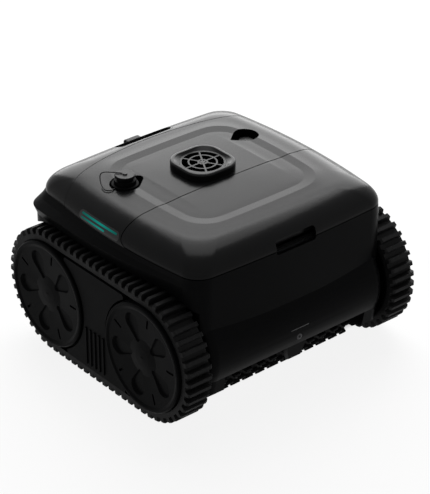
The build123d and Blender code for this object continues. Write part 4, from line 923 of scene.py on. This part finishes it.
# Painted shade: in a rectangle under the machine the floor's white glow fades out, so the floor there is
# darker than the rest.
aside = floor_step("SUBTRACT", floor_step("ABSOLUTE", floor_split.outputs["X"]), painted_shade_half_width)
along = floor_step("SUBTRACT", floor_split.outputs["Y"], painted_shade_middle_y)
along = floor_step("SUBTRACT", floor_step("ABSOLUTE", along), painted_shade_half_length)
glow_outside_painted_shade = floor_nodes.new("ShaderNodeMapRange")
glow_outside_painted_shade.inputs["From Max"].default_value = painted_shade_fade
glow_outside_painted_shade.inputs["To Max"].default_value = floor_white
floor_links.new(floor_step("MAXIMUM", aside, along), glow_outside_painted_shade.inputs["Value"])
floor_glow = floor_nodes.new("ShaderNodeEmission")
floor_mix = floor_nodes.new("ShaderNodeMixShader")
floor_seen = ray_shows_background(floor_nodes, floor_links)
floor_share = floor_step("MULTIPLY", glow_outside_painted_shade.outputs["Result"], floor_seen)
floor_links.new(floor_share, floor_mix.inputs["Fac"])
floor_links.new(floor_skin.outputs["BSDF"], floor_mix.inputs[1])
floor_links.new(floor_glow.outputs["Emission"], floor_mix.inputs[2])
floor_links.new(floor_mix.outputs["Shader"], floor_nodes["Material Output"].inputs["Surface"])
floor.data.materials.append(floor_paint)

surround_light = 0.12
surround_white = 1.0
world = bpy.data.worlds.new("studio")
bpy.context.scene.world = world
world.use_nodes = True
world_nodes, world_links = world.node_tree.nodes, world.node_tree.links
world_light = world_nodes["Background"]
world_light.inputs["Color"].default_value = (1, 1, 1, 1)
world_light.inputs["Strength"].default_value = surround_light
world_white = world_nodes.new("ShaderNodeBackground")
world_white.inputs["Color"].default_value = (1, 1, 1, 1)
world_white.inputs["Strength"].default_value = surround_white
world_mix = world_nodes.new("ShaderNodeMixShader")
world_links.new(ray_shows_background(world_nodes, world_links), world_mix.inputs["Fac"])
world_links.new(world_light.outputs["Background"], world_mix.inputs[1])
world_links.new(world_white.outputs["Background"], world_mix.inputs[2])
world_links.new(world_mix.outputs["Shader"], world_nodes["World Output"].inputs["Surface"])


def soft_box(name, place, aim, width, height, power):
    """A rectangular soft light at a place, turned to what it lights."""
    lamp = bpy.data.lights.new(name, "AREA")
    lamp.shape = "RECTANGLE"
    lamp.size = width
    lamp.size_y = height
    lamp.energy = power
    box = bpy.data.objects.new(name, lamp)
    box.location = place
    box.rotation_euler = (Vector(aim) - Vector(place)).to_track_quat("-Z", "Y").to_euler()
    bpy.context.collection.objects.link(box)


lit_spot = (0, 0, 0.2)
soft_box("back_box", (1.45, 1.75, 1.30), lit_spot, width=2.8, height=2.4, power=95.0)
soft_box("top_box", (0.78, 0.80, 2.31), lit_spot, width=2.1, height=1.7, power=48.0)

camera_place = (-1.5758, -1.8898, 1.5715)
camera_azimuth = -39.94
camera_elevation = 30.32
camera_data = bpy.data.cameras.new("camera")
camera_data.sensor_width = 36.0
camera_data.lens = 156.9
camera = bpy.data.objects.new("camera", camera_data)
camera.location = camera_place
camera.rotation_euler = (math.radians(90 - camera_elevation), 0, math.radians(camera_azimuth))
bpy.context.collection.objects.link(camera)
bpy.context.scene.camera = camera
bpy.context.scene.view_settings.view_transform = "Standard"
